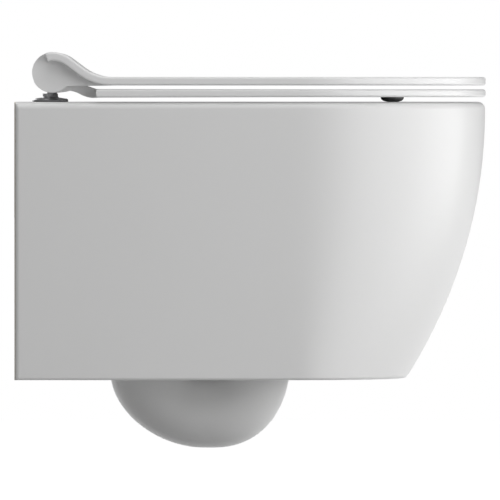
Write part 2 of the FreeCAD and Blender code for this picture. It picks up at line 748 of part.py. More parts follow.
def make_seat_ring():
    body = new_body("seat_ring")
    ring = new_sketch(body, "RingPlan", "XY_Plane", seat_bottom)
    draw_outline(ring, plan_outline(seat_half, seat_length, size.nose_length,
                                    size.ring_back, size.nose_fullness))
    extrude(body, "Pad", "Ring", ring, size.seat_thickness)
    opening = new_sketch(body, "OpeningPlan", "XY_Plane", seat_bottom - PAST)
    widest = size.opening_back + (opening_front - size.opening_back) * 0.47   # of its length
    draw_outline(opening, egg_outline(opening_half, size.opening_back,
                                      opening_front, widest))
    extrude(body, "Pocket", "Opening", opening, size.seat_thickness + 2 * PAST, backwards=True)

    def on_a_face(edge):
        return lies_at(edge, 2, seat_top) or lies_at(edge, 2, seat_bottom)

    def round_opening(edge):
        low_x, high_x, low_y, high_y, _, _ = box_of(edge)
        reach = opening_half.number + PAST
        return low_x > -reach and high_x < reach and high_y < -size.opening_back.number + PAST \
            and low_y > -opening_front.number - PAST

    rounded(body, "EdgeRounding", size.seat_rounding,
            lambda edge: on_a_face(edge) and not round_opening(edge))
    rounded(body, "OpeningRounding", size.opening_rounding,
            lambda edge: on_a_face(edge) and round_opening(edge))

    for side, start in (("Left", -lug_end), ("Right", lug_start)):
        arm = new_sketch(body, f"Arm{side}Profile", "YZ_Plane", start)
        draw_outline(arm, arm_outline())
        extrude(body, "Pad", f"Arm{side}", arm, lug_end - lug_start)
    bore = new_sketch(body, "LugBoreRing", "YZ_Plane", -lug_end - PAST)
    draw_circle(bore, -size.hinge_out, axis_level, size.damper_radius + size.running_clearance)
    extrude(body, "Pocket", "LugBores", bore, lug_end * 2 + 2 * PAST, backwards=True)
    stems = new_sketch(body, "StemHoles", "XY_Plane", seat_bottom)
    for side in (-1, 1):
        draw_circle(stems, buffer_side * side, -buffer_out,
                    size.buffer_stem_radius + size.stem_clearance)
    extrude(body, "Pocket", "StemBores", stems, size.buffer_stem_height + size.stem_end_gap,
            backwards=True)
    return body


def turned_part(label, plane, axis, outline):
    """A body turned from one outline about an axis of its sketch."""
    body = new_body(label)
    sketch = new_sketch(body, f"{label}_profile", plane)
    draw_outline(sketch, outline)
    turned(body, "Revolution", f"{label}_turned", sketch, axis)
    return body


def make_seat_buffer(side, name):
    """A rubber foot with a stem that is pushed into the underside of the ring."""
    zero = Size.of(0)
    foot, top, stem = size.buffer_foot_radius, size.buffer_radius, size.buffer_stem_radius
    body = turned_part(f"seat_buffer_{name}", "XZ_Plane", "V_Axis", [
        (zero, zero), (foot, zero), (top, size.seat_gap * 0.7),
        (top, size.seat_gap), (stem, size.seat_gap),
        (stem, size.seat_gap + size.buffer_stem_height),
        (zero, size.seat_gap + size.buffer_stem_height)])
    place(body, x=buffer_side * side, y=-buffer_out, z=rim)
    return body


def make_damper(label, start, end, side):
    """A soft-close damper: a barrel in the seat's lug with the hinge pin through it."""
    bore = size.axle_radius + size.running_clearance
    body = turned_part(label, "XY_Plane", "H_Axis", [
        (start * side, bore), (end * side, bore),
        (end * side, size.damper_radius), (start * side, size.damper_radius)])
    place(body, y=-size.hinge_out, z=axis_level)
    return body


# ---------------------------------------------------------------------------------------------
# Lid
# ---------------------------------------------------------------------------------------------

def roll_outline():
    """The rolled back of the lid: round the hinge, down a slope and out into the plate."""
    out, wall = -size.hinge_out, size.roll_wall
    inner = size.roll_radius - wall
    crest, hollow = axis_level + size.roll_radius, axis_level + inner
    slope_top = (out - size.slope_top_out, crest - size.slope_top_drop)
    slope_foot = (out - size.slope_foot_out, crest - size.slope_foot_drop)
    run, fall = slope_top[0] - slope_foot[0], slope_top[1] - slope_foot[1]
    slope = root(run * run + fall * fall)
    into_wall = (wall * fall / slope, -wall * run / slope)
    under_top = (slope_top[0] + into_wall[0], slope_top[1] + into_wall[1])
    under_foot = (slope_foot[0] + into_wall[0], slope_foot[1] + into_wall[1])
    reach = run / fall               # how far the slope runs out for each unit that it falls
    blend, crown_blend, back_edge = 0.63, 0.647, 109
    plate_start = out - size.plate_start
    end = plate_start - size.plate_overlap
    return [
        *hinge_arc(size.roll_radius, back_edge, 90),
        (out, crest, slope_top[0] + (crest - slope_top[1]) * reach, crest, crown_blend),
        slope_top,
        (*slope_foot, slope_foot[0] - (slope_foot[1] - lid_top) * reach, lid_top, blend),
        (plate_start, lid_top),
        (end, lid_top),
        (end, lid_bottom),
        (plate_start, lid_bottom,
         under_foot[0] - (under_foot[1] - lid_bottom) * reach, lid_bottom, blend),
        under_foot,
        (*under_top, under_top[0] + (hollow - under_top[1]) * reach, hollow, blend),
        *hinge_arc(inner, 90, back_edge),
        at_hinge(inner, back_edge),
    ]


def cheek_outline():
    """The web that closes the end of the roll, from the hinge to the flat of the plate."""
    out = -size.hinge_out
    middle = axis_level + size.roll_radius - size.roll_wall / 2
    return [
        (out, axis_level), (out, middle),
        (out - size.cheek_top_out, middle - size.cheek_top_drop),
        (out - size.cheek_slope_out, middle - size.cheek_slope_drop),
        (out - size.cheek_foot_out, lid_bottom + size.cheek_foot_height),
        (out - size.cheek_tip_out, lid_bottom + size.cheek_tip_height),
        (out - size.cheek_tip_out, lid_bottom), (out - size.cheek_heel_out, lid_bottom),
    ]


def make_lid():
    body = new_body("lid")
    plate_start = size.hinge_out + size.plate_start
    half = lid_half
    plan = new_sketch(body, "PlatePlan", "XY_Plane", lid_bottom)
    draw_outline(plan, plan_outline(half, seat_length, size.nose_length, plate_start,
                                    size.nose_fullness))
    extrude(body, "Pad", "Plate", plan, size.lid_thickness)
    roll = new_sketch(body, "RollProfile", "YZ_Plane", -half)
    draw_outline(roll, roll_outline())
    extrude(body, "Pad", "Roll", roll, half * 2)

    def at_the_edge(edge):
        """The flat edges of the plate; the rounding runs on from them along the roll."""
        low_x, high_x = box_of(edge)[:2]
        crosses = high_x - low_x > half.number * 1.9
        return not crosses and (lies_at(edge, 2, lid_top) or lies_at(edge, 2, lid_bottom))

    rounded(body, "LidRounding", size.lid_rounding, at_the_edge)

    for side, start in (("Left", -cheek_end), ("Right", cheek_start)):
        disc = new_sketch(body, f"Cheek{side}Ring", "YZ_Plane", start)
        draw_circle(disc, -size.hinge_out, axis_level, size.roll_radius - size.cheek_inset)
        extrude(body, "Pad", f"Cheek{side}Disc", disc, cheek_end - cheek_start)
        web = new_sketch(body, f"Cheek{side}Profile", "YZ_Plane", start)
        draw_outline(web, cheek_outline())
        extrude(body, "Pad", f"Cheek{side}Web", web, cheek_end - cheek_start)
    bore = new_sketch(body, "CheekBoreRing", "YZ_Plane", -cheek_start - size.cheek_bore_depth)
    draw_circle(bore, -size.hinge_out, axis_level, size.damper_radius + size.fixed_clearance)
    extrude(body, "Pocket", "CheekBores", bore,
            (cheek_start + size.cheek_bore_depth) * 2, backwards=True)

    # The roll is cut away over each hinge post, so that the lid clears it as it turns.
    slot_half = size.neck_radius + size.slot_play
    past_roll = size.roll_radius * 1.4
    back, front = 125, 42
    for side, name in ((-1, "Left"), (1, "Right")):
        slot = new_sketch(body, f"PostSlot{name}Profile", "YZ_Plane",
                          hinge_side * side - slot_half)
        draw_outline(slot, [
            at_hinge(size.lug_radius, back), at_hinge(past_roll, back),
            at_hinge(past_roll, 90), at_hinge(past_roll, front),
            at_hinge(size.lug_radius, front)])
        extrude(body, "Pocket", f"PostSlot{name}", slot, slot_half * 2, backwards=True)
    return body


# ---------------------------------------------------------------------------------------------
# Hinge, fixings and seal
# ---------------------------------------------------------------------------------------------

def make_hinge_gasket(side, name):
    bore = size.hinge_stud_radius + size.gasket_clearance
    body = turned_part(f"hinge_gasket_{name}", "XZ_Plane", "V_Axis", [
        (bore, Size.of(0)), (size.flange_radius, Size.of(0)),
        (size.flange_radius, size.gasket_height), (bore, size.gasket_height)])
    place(body, x=hinge_side * side, y=-size.post_out, z=rim)
    return body


def make_hinge_post(side, name):
    """A flange and boss that stand on the pan, and a neck that carries the hinge pin."""
    zero = Size.of(0)
    base = size.gasket_height
    flange_top = base + size.flange_height
    stud = size.hinge_stud_radius + size.thread_clearance
    crown = flange_top + size.flange_crown
    body = turned_part(f"hinge_post_{name}", "XZ_Plane", "V_Axis", [
        (stud, base), (size.flange_radius, base),
        (size.flange_radius, flange_top - size.flange_edge),
        (size.flange_radius - size.flange_edge, flange_top),
        (size.boss_radius + size.boss_foot, crown),
        (size.boss_radius, crown + size.boss_foot),
        (size.boss_radius, size.boss_height), (stud, size.boss_height)])
    lean = size.hinge_out - size.post_out
    neck = new_sketch(body, "NeckRing", "XY_Plane", size.boss_height - size.neck_overlap)
    draw_circle(neck, zero, -lean / 2, size.neck_radius)
    extrude(body, "Pad", "Neck", neck, size.hinge_height - size.boss_height + size.neck_overlap)
    half = size.knuckle_width / 2
    knuckle = new_sketch(body, "KnuckleRing", "YZ_Plane", -half)
    draw_circle(knuckle, -lean, size.hinge_height, size.knuckle_radius)
    extrude(body, "Pad", "Knuckle", knuckle, size.knuckle_width)
    rounded(body, "KnuckleChamfer", size.knuckle_chamfer,
            lambda edge: lies_at(edge, 0, half) or lies_at(edge, 0, -half), "Chamfer")
    bore = new_sketch(body, "PinRing", "YZ_Plane", -half - PAST)
    draw_circle(bore, -lean, size.hinge_height, size.axle_radius + size.fixed_clearance)
    extrude(body, "Pocket", "PinBore", bore, size.knuckle_width + 2 * PAST, backwards=True)
    place(body, x=hinge_side * side, y=-size.post_out, z=rim)
    return body


def make_hinge_stud(side, name):
    """The threaded rod that clamps the post, drawn without its thread."""
    zero = Size.of(0)
    top = size.boss_height - size.stud_top_gap
    chamfer = size.stud_chamfer
    body = turned_part(f"hinge_stud_{name}", "XZ_Plane", "V_Axis", [
        (zero, -size.hinge_stud_drop), (size.hinge_stud_radius - chamfer, -size.hinge_stud_drop),
        (size.hinge_stud_radius, -size.hinge_stud_drop + chamfer),
        (size.hinge_stud_radius, top), (zero, top)])
    place(body, x=hinge_side * side, y=-size.post_out, z=rim)
    return body


def make_hinge_plug(side, name):
    """A rubber plug in the pan's hole, squeezed out below the deck by the nut."""
    bore = size.hinge_stud_radius + size.thread_clearance
    neck = size.deck_hole_radius - size.plug_clearance
    bulge = neck + size.plug_bulge
    deck = -size.deck_thickness
    foot = deck - size.plug_grip
    body = turned_part(f"hinge_plug_{name}", "XZ_Plane", "V_Axis", [
        (bore, foot), (neck, foot), (bulge, foot + size.plug_edge * 3),
        (bulge, deck - size.plug_edge * 3), (neck + size.plug_edge, deck),
        (neck, deck), (neck, -size.plug_clearance), (bore, -size.plug_clearance)])
    place(body, x=hinge_side * side, y=-size.post_out, z=rim)
    return body


def hexagon(middle_x, middle_y, across_flats):
    """Six corners round a point, with two flats square to the first axis."""
    reach = across_flats / 2 / math.cos(math.radians(30))
    corners = []
    for number in range(6):
        turn = math.radians(30 + 60 * number)
        corners.append((middle_x + reach * math.cos(turn), middle_y + reach * math.sin(turn)))
    return corners


def make_hinge_nut(side, name):
    body = new_body(f"hinge_nut_{name}")
    zero = Size.of(0)
    top = -size.deck_thickness - size.plug_grip
    sketch = new_sketch(body, "NutPlan", "XY_Plane", top - size.hinge_nut_height)
    draw_outline(sketch, hexagon(zero, zero, size.hinge_nut_flats))
    draw_circle(sketch, zero, zero, size.hinge_stud_radius + size.thread_clearance)
    extrude(body, "Pad", "Nut", sketch, size.hinge_nut_height)
    place(body, x=hinge_side * side, y=-size.post_out, z=rim)
    return body


def make_hinge_axle(side, name):
    """The steel pin from the post's knuckle, through the seat's lug, into the lid's cheek."""
    zero = Size.of(0)
    start = (hinge_side - size.knuckle_width / 2 + size.axle_set_in) * side
    end = axle_end * side
    tip = end - size.axle_chamfer * side
    body = turned_part(f"hinge_axle_{name}", "XY_Plane", "H_Axis", [
        (start, zero), (start, size.axle_radius), (tip, size.axle_radius),
        (end, size.axle_radius - size.axle_chamfer), (end, zero)])
    place(body, y=-size.hinge_out, z=axis_level)
    return body


def make_inlet_seal():
    """The rubber collar in the flush inlet, with two lips against the china."""
    bore, lip = size.flush_pipe_radius, size.inlet_socket_radius - size.seal_clearance
    waist, taper = lip - size.seal_waist, size.seal_taper
    start, end = -size.seal_set_in, -size.inlet_socket_depth + size.seal_clearance
    first = start - size.seal_lip
    second = (start + end) / 2
    third = second - taper - size.seal_lip
    body = turned_part("inlet_seal", "XY_Plane", "V_Axis", [
        (bore, start), (lip, start), (lip, first), (waist, first - taper),
        (waist, second), (lip, second - taper), (lip, third), (waist, third - taper),
        (waist, end), (bore, end)])
    place(body, z=inlet_level)
    return body


def make_fixing_sleeve(side, name):
    """A plastic sleeve that centres the stud in the china, with a flange under the washer."""
    bore = size.stud_radius + size.stud_clearance
    barrel = size.stud_hole_radius - size.sleeve_clearance
    face = size.bridge_thickness
    flange = face + size.sleeve_flange_thickness
    body = turned_part(f"fixing_sleeve_{name}", "XY_Plane", "V_Axis", [
        (bore, Size.of(0)), (barrel, Size.of(0)), (barrel, -face),
        (size.sleeve_flange, -face), (size.sleeve_flange, -flange), (bore, -flange)])
    place(body, x=size.stud_spacing / 2 * side)
    return body


def make_fixing_washer(side, name):
    bore = size.stud_radius + size.stud_clearance
    start = size.bridge_thickness + size.sleeve_flange_thickness
    body = turned_part(f"fixing_washer_{name}", "XY_Plane", "V_Axis", [
        (bore, -start), (size.washer_radius, -start),
        (size.washer_radius, -start - size.washer_thickness),
        (bore, -start - size.washer_thickness)])
    place(body, x=size.stud_spacing / 2 * side)
    return body


def make_fixing_nut(side, name):
    body = new_body(f"fixing_nut_{name}")
    start = size.bridge_thickness + size.sleeve_flange_thickness + size.washer_thickness
    zero = Size.of(0)
    sketch = new_sketch(body, "NutPlan", "XZ_Plane", start)
    draw_outline(sketch, hexagon(zero, zero, size.nut_across_flats))
    draw_circle(sketch, zero, zero, size.stud_radius + size.stud_clearance)
    extrude(body, "Pad", "Nut", sketch, size.nut_height)
    place(body, x=size.stud_spacing / 2 * side)
    return body


SIDES = ((-1, "left"), (1, "right"))
PAIRED = (make_hinge_gasket, make_hinge_post, make_hinge_stud, make_hinge_plug, make_hinge_nut,
          make_hinge_axle, make_fixing_sleeve, make_fixing_washer, make_fixing_nut,
          make_seat_buffer)

SUB_PARTS = [*make_pan_shell(), *make_pan_bowl(), *make_pan_trap(), make_pan_back(),
             make_inlet_seal(), make_seat_ring(), make_lid()]
for make_piece in PAIRED:
    for side, name in SIDES:
        SUB_PARTS.append(make_piece(side, name))
damper_start = lug_start + size.damper_set_in
bush_end = cheek_start + size.bush_overlap
SUB_PARTS.append(make_damper("seat_damper", damper_start, lug_end - size.damper_end_gap, -1))
SUB_PARTS.append(make_damper("lid_bush", lug_end + size.damper_end_gap, bush_end, -1))
SUB_PARTS.append(make_damper("lid_damper", damper_start, bush_end, 1))


if __name__ == "__main__":
    for item in doc.Objects:
        if "Invalid" in item.State or "Error" in item.State:
            raise SystemExit(f"{item.Name} failed: {item.State}")
    for body in SUB_PARTS:
        shape = body.Shape
        if shape.isNull() or not shape.isValid():
            raise SystemExit(f"{body.Label} has no valid shape")
        shape.exportStep(f"parts/{body.Label}.step")
        print(body.Label, len(shape.Solids), round(shape.Volume))
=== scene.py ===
import bpy
import bmesh
import json
import math
from mathutils import Matrix, Vector


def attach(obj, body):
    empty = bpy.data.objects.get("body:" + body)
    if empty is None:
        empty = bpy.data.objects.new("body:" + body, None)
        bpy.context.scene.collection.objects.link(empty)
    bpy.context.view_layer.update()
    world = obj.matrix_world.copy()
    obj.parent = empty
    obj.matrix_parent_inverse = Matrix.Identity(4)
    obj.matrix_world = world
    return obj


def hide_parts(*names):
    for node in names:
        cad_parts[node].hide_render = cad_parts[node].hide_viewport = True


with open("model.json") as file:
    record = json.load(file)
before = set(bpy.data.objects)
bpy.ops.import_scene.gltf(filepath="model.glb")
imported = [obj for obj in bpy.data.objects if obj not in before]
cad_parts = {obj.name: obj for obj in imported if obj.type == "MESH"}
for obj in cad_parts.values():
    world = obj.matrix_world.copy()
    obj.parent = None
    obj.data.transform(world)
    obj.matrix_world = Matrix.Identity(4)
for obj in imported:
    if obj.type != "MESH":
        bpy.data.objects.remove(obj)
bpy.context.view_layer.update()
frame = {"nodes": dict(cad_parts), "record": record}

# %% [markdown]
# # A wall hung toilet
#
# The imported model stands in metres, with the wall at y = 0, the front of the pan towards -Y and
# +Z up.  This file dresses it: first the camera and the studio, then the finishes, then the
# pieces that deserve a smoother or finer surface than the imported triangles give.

scene = bpy.context.scene
MM = 0.001
TINY = 0.001 * MM            # two places that are closer than this count as one

# %% [markdown]
# ## The camera
#
# The picture is a product shot from the side with a long lens.  The gap under the seat shows
# neither the face above it nor the one below, so the camera stood at that height.  It was tipped
# down by half a degree to bring the pan into the middle of the picture.

# %% Camera
NEAR_SIDE = -0.180           # the side of the pan that faces the camera
CAMERA_DISTANCE = 20.0       # from that side
CAMERA_HEIGHT = 0.0965
PICTURE_MIDDLE = (-0.2490, -0.0714)      # y and z of the middle of the picture, at that side
PICTURE_WIDTH = 0.5280       # metres across the picture, at that side
SENSOR_WIDTH = 36.0          # millimetres
CLIP_END = 100.0             # metres, well past the floor

camera_data = bpy.data.cameras.new("side_view")
camera_data.sensor_width = SENSOR_WIDTH
camera_data.lens = SENSOR_WIDTH * CAMERA_DISTANCE / PICTURE_WIDTH
camera_data.clip_end = CLIP_END
camera = bpy.data.objects.new("side_view", camera_data)
scene.collection.objects.link(camera)
camera.location = (NEAR_SIDE - CAMERA_DISTANCE, PICTURE_MIDDLE[0], CAMERA_HEIGHT)
look = Vector((NEAR_SIDE, *PICTURE_MIDDLE)) - camera.location
camera.rotation_mode = "QUATERNION"
camera.rotation_quaternion = look.to_track_quat("-Z", "Y")
scene.camera = camera
print("lens", round(camera_data.lens), "mm, tipped down",
      round(math.degrees(math.asin(-look.normalized().z)), 2), "degrees")

# %% [markdown]
# ## Writing shader maths
#
# A finish is a small drawing made of sums: waves added to speckle, a mask that fades from one
# colour to another.  Written as nodes and links, such a sum is hard to read.  The class below
# wraps one output socket, so that the sum can be written with + and *, and each operator adds
# the Math node that it stands for.  One more method adds any other kind of node.

# %% A socket that can be used in sums
class Wire:
    """One output of a node tree, which behaves like a number in a sum."""

    def __init__(self, tree, socket):
        self.tree = tree
        self.socket = socket

    def math(self, operation, *values):
        return add_node(self.tree, "Math", {"operation": operation}, values)

    def __add__(self, other):
        return self.math("ADD", self, other)

    def __sub__(self, other):
        return self.math("SUBTRACT", self, other)

    def __mul__(self, other):
        return self.math("MULTIPLY", self, other)

    def __rsub__(self, other):
        return self.math("SUBTRACT", other, self)

    __radd__ = __add__
    __rmul__ = __mul__

    def fade(self, low, high):
        """0 below the low value, 1 above the high one, and smooth between them."""
        return add_node(self.tree, "MapRange", {"interpolation_type": "SMOOTHSTEP"},
                        {"Value": self, "From Min": low, "From Max": high})

    def part(self, name):
        """The x, y or z of a vector."""
        return add_node(self.tree, "SeparateXYZ", {}, {"Vector": self}, name)


def connect(tree, socket, value):
    """A wire is linked to the socket, and anything else is set on it."""
    if isinstance(value, Wire):
        tree.links.new(value.socket, socket)
    else:
        socket.default_value = value


def add_node(tree, kind, settings, inputs, output=0):
    """Any shader node: its settings first, then its inputs by name or by number."""
    node = tree.nodes.new(f"ShaderNode{kind}")
    for name, value in settings.items():
        setattr(node, name, value)
    pairs = inputs.items() if isinstance(inputs, dict) else enumerate(inputs)
    for name, value in pairs:
        connect(tree, node.inputs[name], value)
    return Wire(tree, node.outputs[output])


def colour_mix(tree, share, first, second):
    """The first colour where the share is 0 and the second where it is 1."""
    node = tree.nodes.new("ShaderNodeMix")
    node.data_type = "RGBA"
    sockets = {"Factor": share, "A": first, "B": second}
    for socket in node.inputs:
        if socket.enabled and socket.name in sockets:
            value = sockets[socket.name]
            connect(tree, socket, (*value, 1.0) if isinstance(value, tuple) else value)
    colour = [socket for socket in node.outputs if socket.enabled][0]
    return Wire(tree, colour)


print("shader helpers are ready")

# %% [markdown]
# ## The studio
#
# The ground of the picture is pure white, while the white glaze on it keeps soft greys.  A camera
# that looks past the object sees white of strength 1.  The light that falls on the object is
# duller: a dim sky and large soft lamps.  Three stand low, in front of the nose and beside it, so
# that the nose is the brightest part and the side falls off towards the wall.  Two hang above,
# for the edges of the lid and the rounded rim.  The last two stand behind, so that the far side
# and the face at the wall can be seen from there.

# %% World and lamps
scene.view_settings.view_transform = "Standard"
SKY_STRENGTH = 0.16

world = bpy.data.worlds.new("studio")
scene.world = world
world.use_nodes = True
sky = world.node_tree
sky.nodes.clear()


def seen_directly(tree):
    """1 for a ray from the camera, or one that a mirror or glass sends on, and 0 for light."""
    path = tree.nodes.new("ShaderNodeLightPath")
    seen = Wire(tree, path.outputs["Is Camera Ray"])
    for ray in ("Is Glossy Ray", "Is Transmission Ray"):
        seen = seen.math("MAXIMUM", seen, Wire(tree, path.outputs[ray]))
    return seen


WHITE = (1.0, 1.0, 1.0, 1.0)
dull = add_node(sky, "Background", {}, {"Color": WHITE, "Strength": SKY_STRENGTH})
clear = add_node(sky, "Background", {}, {"Color": WHITE, "Strength": 1.0})
camera_ray = Wire(sky, sky.nodes.new("ShaderNodeLightPath").outputs["Is Camera Ray"])
seen_sky = add_node(sky, "MixShader", {}, [camera_ray, dull, clear])
end = sky.nodes.new("ShaderNodeOutputWorld")
sky.links.new(seen_sky.socket, end.inputs["Surface"])

MIDDLE = (0.0, -0.28, 0.0)
LAMP_SIZE = 1.8


def soft_lamp(name, place, watts):
    """A large square lamp at a place, turned towards the middle of the pan."""
    data = bpy.data.lights.new(name, "AREA")
    data.shape = "SQUARE"
    data.size = LAMP_SIZE
    data.energy = watts
    made = bpy.data.objects.new(name, data)
    scene.collection.objects.link(made)
    made.location = place
    made.rotation_mode = "QUATERNION"
    aim = Vector(MIDDLE) - Vector(place)
    made.rotation_quaternion = aim.to_track_quat("-Z", "Y")
    print(name, "stands", round(aim.length, 2), "m away")


soft_lamp("front_lamp", (0, -2.6, 0.1), 3)
soft_lamp("low_front_lamp", (0, -2.2, -0.5), 35)
soft_lamp("corner_lamp", (-1.8, -1.9, 0.1), 30)
soft_lamp("near_top_lamp", (-1.2, -0.3, 2.3), 20)
soft_lamp("top_lamp", (0, -0.3, 2.6), 12)
soft_lamp("back_lamp", (-2.2, 1.0, 0.6), 3)
soft_lamp("rear_lamp", (2.3, 1.4, 1.0), 42)

# %% [markdown]
# ## The floor
#
# The floor is a plain pale sheet, 46 cm under the rim of the pan.  To the camera it also glows, so
# that it runs into the white ground without a horizon.

# %% Floor
FLOOR_LEVEL = -0.378
FLOOR_SIZE = 14.0
FLOOR_GREY = (0.30, 0.30, 0.30, 1.0)
FLOOR_GLOW = 0.97

floor_mesh = bpy.data.meshes.new("floor")
sheet = bmesh.new()
bmesh.ops.create_grid(sheet, x_segments=1, y_segments=1, size=FLOOR_SIZE / 2)
bmesh.ops.translate(sheet, verts=sheet.verts, vec=(0, 0, FLOOR_LEVEL))
sheet.to_mesh(floor_mesh)
sheet.free()
floor = bpy.data.objects.new("floor", floor_mesh)
scene.collection.objects.link(floor)

floor_finish = bpy.data.materials.new("pale_floor")
floor_finish.use_nodes = True
tree = floor_finish.node_tree
tree.nodes.clear()
matte = add_node(tree, "BsdfDiffuse", {}, {"Color": FLOOR_GREY})
glow = add_node(tree, "Emission", {}, {"Color": WHITE, "Strength": FLOOR_GLOW})
lit = add_node(tree, "AddShader", {}, [matte, glow])
surface = add_node(tree, "MixShader", {}, [seen_directly(tree), matte, lit])
end = tree.nodes.new("ShaderNodeOutputMaterial")
tree.links.new(surface.socket, end.inputs["Surface"])
floor_mesh.materials.append(floor_finish)
print("the floor lies", round(-FLOOR_LEVEL, 3), "m under the studs")

# %% [markdown]
# ## Finishes
#
# Every finish starts from the same node, Principled BSDF, which is a plain surface with a gloss.
# A number that is the same all over is set on the node itself.  Patterns read Object
# coordinates, which here are metres from the middle of the wall studs, so they stay in place
# when a seat or a lid is lifted.

# %% Starting a finish
finishes = {}


def start_finish(name, **settings):
    """A new material and the parts that patterns are built from."""
    material = bpy.data.materials.new(name)
    material.use_nodes = True
    tree = material.node_tree
    shader = tree.nodes["Principled BSDF"]
    for socket, value in settings.items():
        connect(tree, shader.inputs[socket.replace("_", " ")], value)
    place = add_node(tree, "TexCoord", {}, {}, "Object")
    finishes[name] = material
    return tree, shader, place


def noise(place, scale, detail=2.0):
    """Soft clouds, about 1 / scale metres across, between 0 and 1."""
    return add_node(place.tree, "TexNoise", {},
                    {"Vector": place, "Scale": scale, "Detail": detail})


def stretched(place, x, y, z):
    """The place, squeezed along each axis, so that a pattern is drawn out along it."""
    return add_node(place.tree, "Mapping", {}, {"Vector": place, "Scale": (x, y, z)})


def bump(tree, shader, height):
    """Lets the light read a height in metres as relief."""
    relief = add_node(tree, "Bump", {}, {"Height": height, "Distance": 1.0, "Strength": 1.0})
    connect(tree, shader.inputs["Normal"], relief)


print("tools for finishes are ready")

# %% [markdown]
# ### Glazed china
#
# The pan is slip-cast, dipped in a white glaze and fired.  The glaze is a layer of glass over a
# softer white body, which is what the coat of the shader is for.  This one is satin: its
# reflections are wide and soft, so the coat is thin and rough.  Glaze flows while it is hot and
# is never quite flat, so slow waves of a few centimetres and a fine orange peel bend the light.
# The face that meets the wall is wiped clean before firing.  It stays matt, warmer in colour, and
# its edge is a little ragged.

# %% Glazed china
WAVE_HEIGHT, PEEL_HEIGHT, GRAIN_HEIGHT = 0.20 * MM, 0.004 * MM, 0.06 * MM
RAGGED_REACH, BARE_START, BARE_END = 1.2 * MM, -1.2 * MM, -0.4 * MM
tree, shader, place = start_finish("glazed_china", Coat_Roughness=0.30, Coat_IOR=1.5,
                                   Specular_IOR_Level=0.35)
waves = noise(place, 14.0, 1.0)
peel = noise(place, 420.0, 1.0)
clouds = noise(place, 5.0, 3.0)
ragged = noise(place, 260.0) * RAGGED_REACH
wiped = (place.part("Y") + ragged).fade(BARE_START, BARE_END)
grain = noise(place, 1500.0)
glaze_colour = colour_mix(tree, clouds, (0.800, 0.800, 0.797), (0.822, 0.822, 0.820))
bare_colour = colour_mix(tree, grain, (0.66, 0.62, 0.55), (0.74, 0.70, 0.63))
connect(tree, shader.inputs["Base Color"], colour_mix(tree, wiped, glaze_colour, bare_colour))
connect(tree, shader.inputs["Roughness"], 0.40 + clouds * 0.04 + wiped * 0.4)
connect(tree, shader.inputs["Coat Weight"], (1.0 - wiped) * 0.30)
bump(tree, shader, waves * WAVE_HEIGHT + peel * PEEL_HEIGHT + wiped * grain * GRAIN_HEIGHT)
print("glazed china is ready")

# %% [markdown]
# ### Seat plastic
#
# The seat and lid are pressed from a hard white thermoset.  It is a shade cleaner than the glaze
# and a little smoother, with only the faint flow of the press.

# %% Seat plastic
FLOW_HEIGHT = 0.04 * MM
tree, shader, place = start_finish("seat_plastic", Coat_Weight=0.25, Coat_Roughness=0.25)
flow = noise(stretched(place, 1.0, 0.4, 1.0), 9.0)
haze = noise(place, 60.0)
connect(tree, shader.inputs["Base Color"],
        colour_mix(tree, flow, (0.835, 0.835, 0.835), (0.850, 0.850, 0.850)))
connect(tree, shader.inputs["Roughness"], 0.36 + haze * 0.04)
bump(tree, shader, flow * FLOW_HEIGHT)
print("seat plastic is ready")

# %% [markdown]
# ### Hinge steel
#
# The posts are turned from stainless steel and brushed.  A lathe leaves rings round the axis of
# the part, so the pattern is noise that changes with the distance from that axis and with the
# height, and hardly at all round it.

# %% Hinge steel
RING_HEIGHT = 0.02 * MM
tree, shader, place = start_finish("hinge_steel", Metallic=1.0)
rings = noise(stretched(place, 0.2, 0.2, 1.0), 1800.0)
smudge = noise(place, 90.0)
connect(tree, shader.inputs["Base Color"],
        colour_mix(tree, smudge, (0.30, 0.30, 0.31), (0.40, 0.40, 0.41)))
connect(tree, shader.inputs["Roughness"], 0.30 + rings * 0.16)
bump(tree, shader, rings * RING_HEIGHT)
print("hinge steel is ready")

# %% [markdown]
# ### Zinc plate, nylon and rubber
#
# Nuts and washers are zinc plated: bright, slightly blue, and mottled where the plating dried.
# Nylon is a soft milky white.  The rubber of the feet, gaskets and seal is nearly black, and the
# mould leaves it with a low shine.

# %% Zinc plate, nylon and rubber
MOTTLE_HEIGHT, MILK_HEIGHT, SKIN_HEIGHT = 0.02 * MM, 0.03 * MM, 0.02 * MM
tree, shader, place = start_finish("fixing_steel", Metallic=1.0)
mottle = noise(place, 240.0, 3.0)
connect(tree, shader.inputs["Base Color"],
        colour_mix(tree, mottle, (0.50, 0.52, 0.54), (0.66, 0.66, 0.64)))
connect(tree, shader.inputs["Roughness"], 0.26 + mottle * 0.18)
bump(tree, shader, mottle * MOTTLE_HEIGHT)

tree, shader, place = start_finish("hinge_nylon")
milk = noise(place, 120.0)
connect(tree, shader.inputs["Base Color"],
        colour_mix(tree, milk, (0.70, 0.70, 0.67), (0.76, 0.76, 0.73)))
connect(tree, shader.inputs["Roughness"], 0.42 + milk * 0.12)
bump(tree, shader, milk * MILK_HEIGHT)

tree, shader, place = start_finish("rubber")
skin = noise(place, 900.0)
bloom = noise(place, 70.0)
connect(tree, shader.inputs["Base Color"],
        colour_mix(tree, bloom, (0.035, 0.035, 0.036), (0.055, 0.055, 0.055)))
connect(tree, shader.inputs["Roughness"], 0.34 + skin * 0.12)
bump(tree, shader, skin * SKIN_HEIGHT)
print("finishes:", ", ".join(finishes))

# %% [markdown]
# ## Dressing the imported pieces
#
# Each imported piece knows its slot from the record.  A piece whose shape is right keeps its own
# mesh and only gets the finish of its slot.

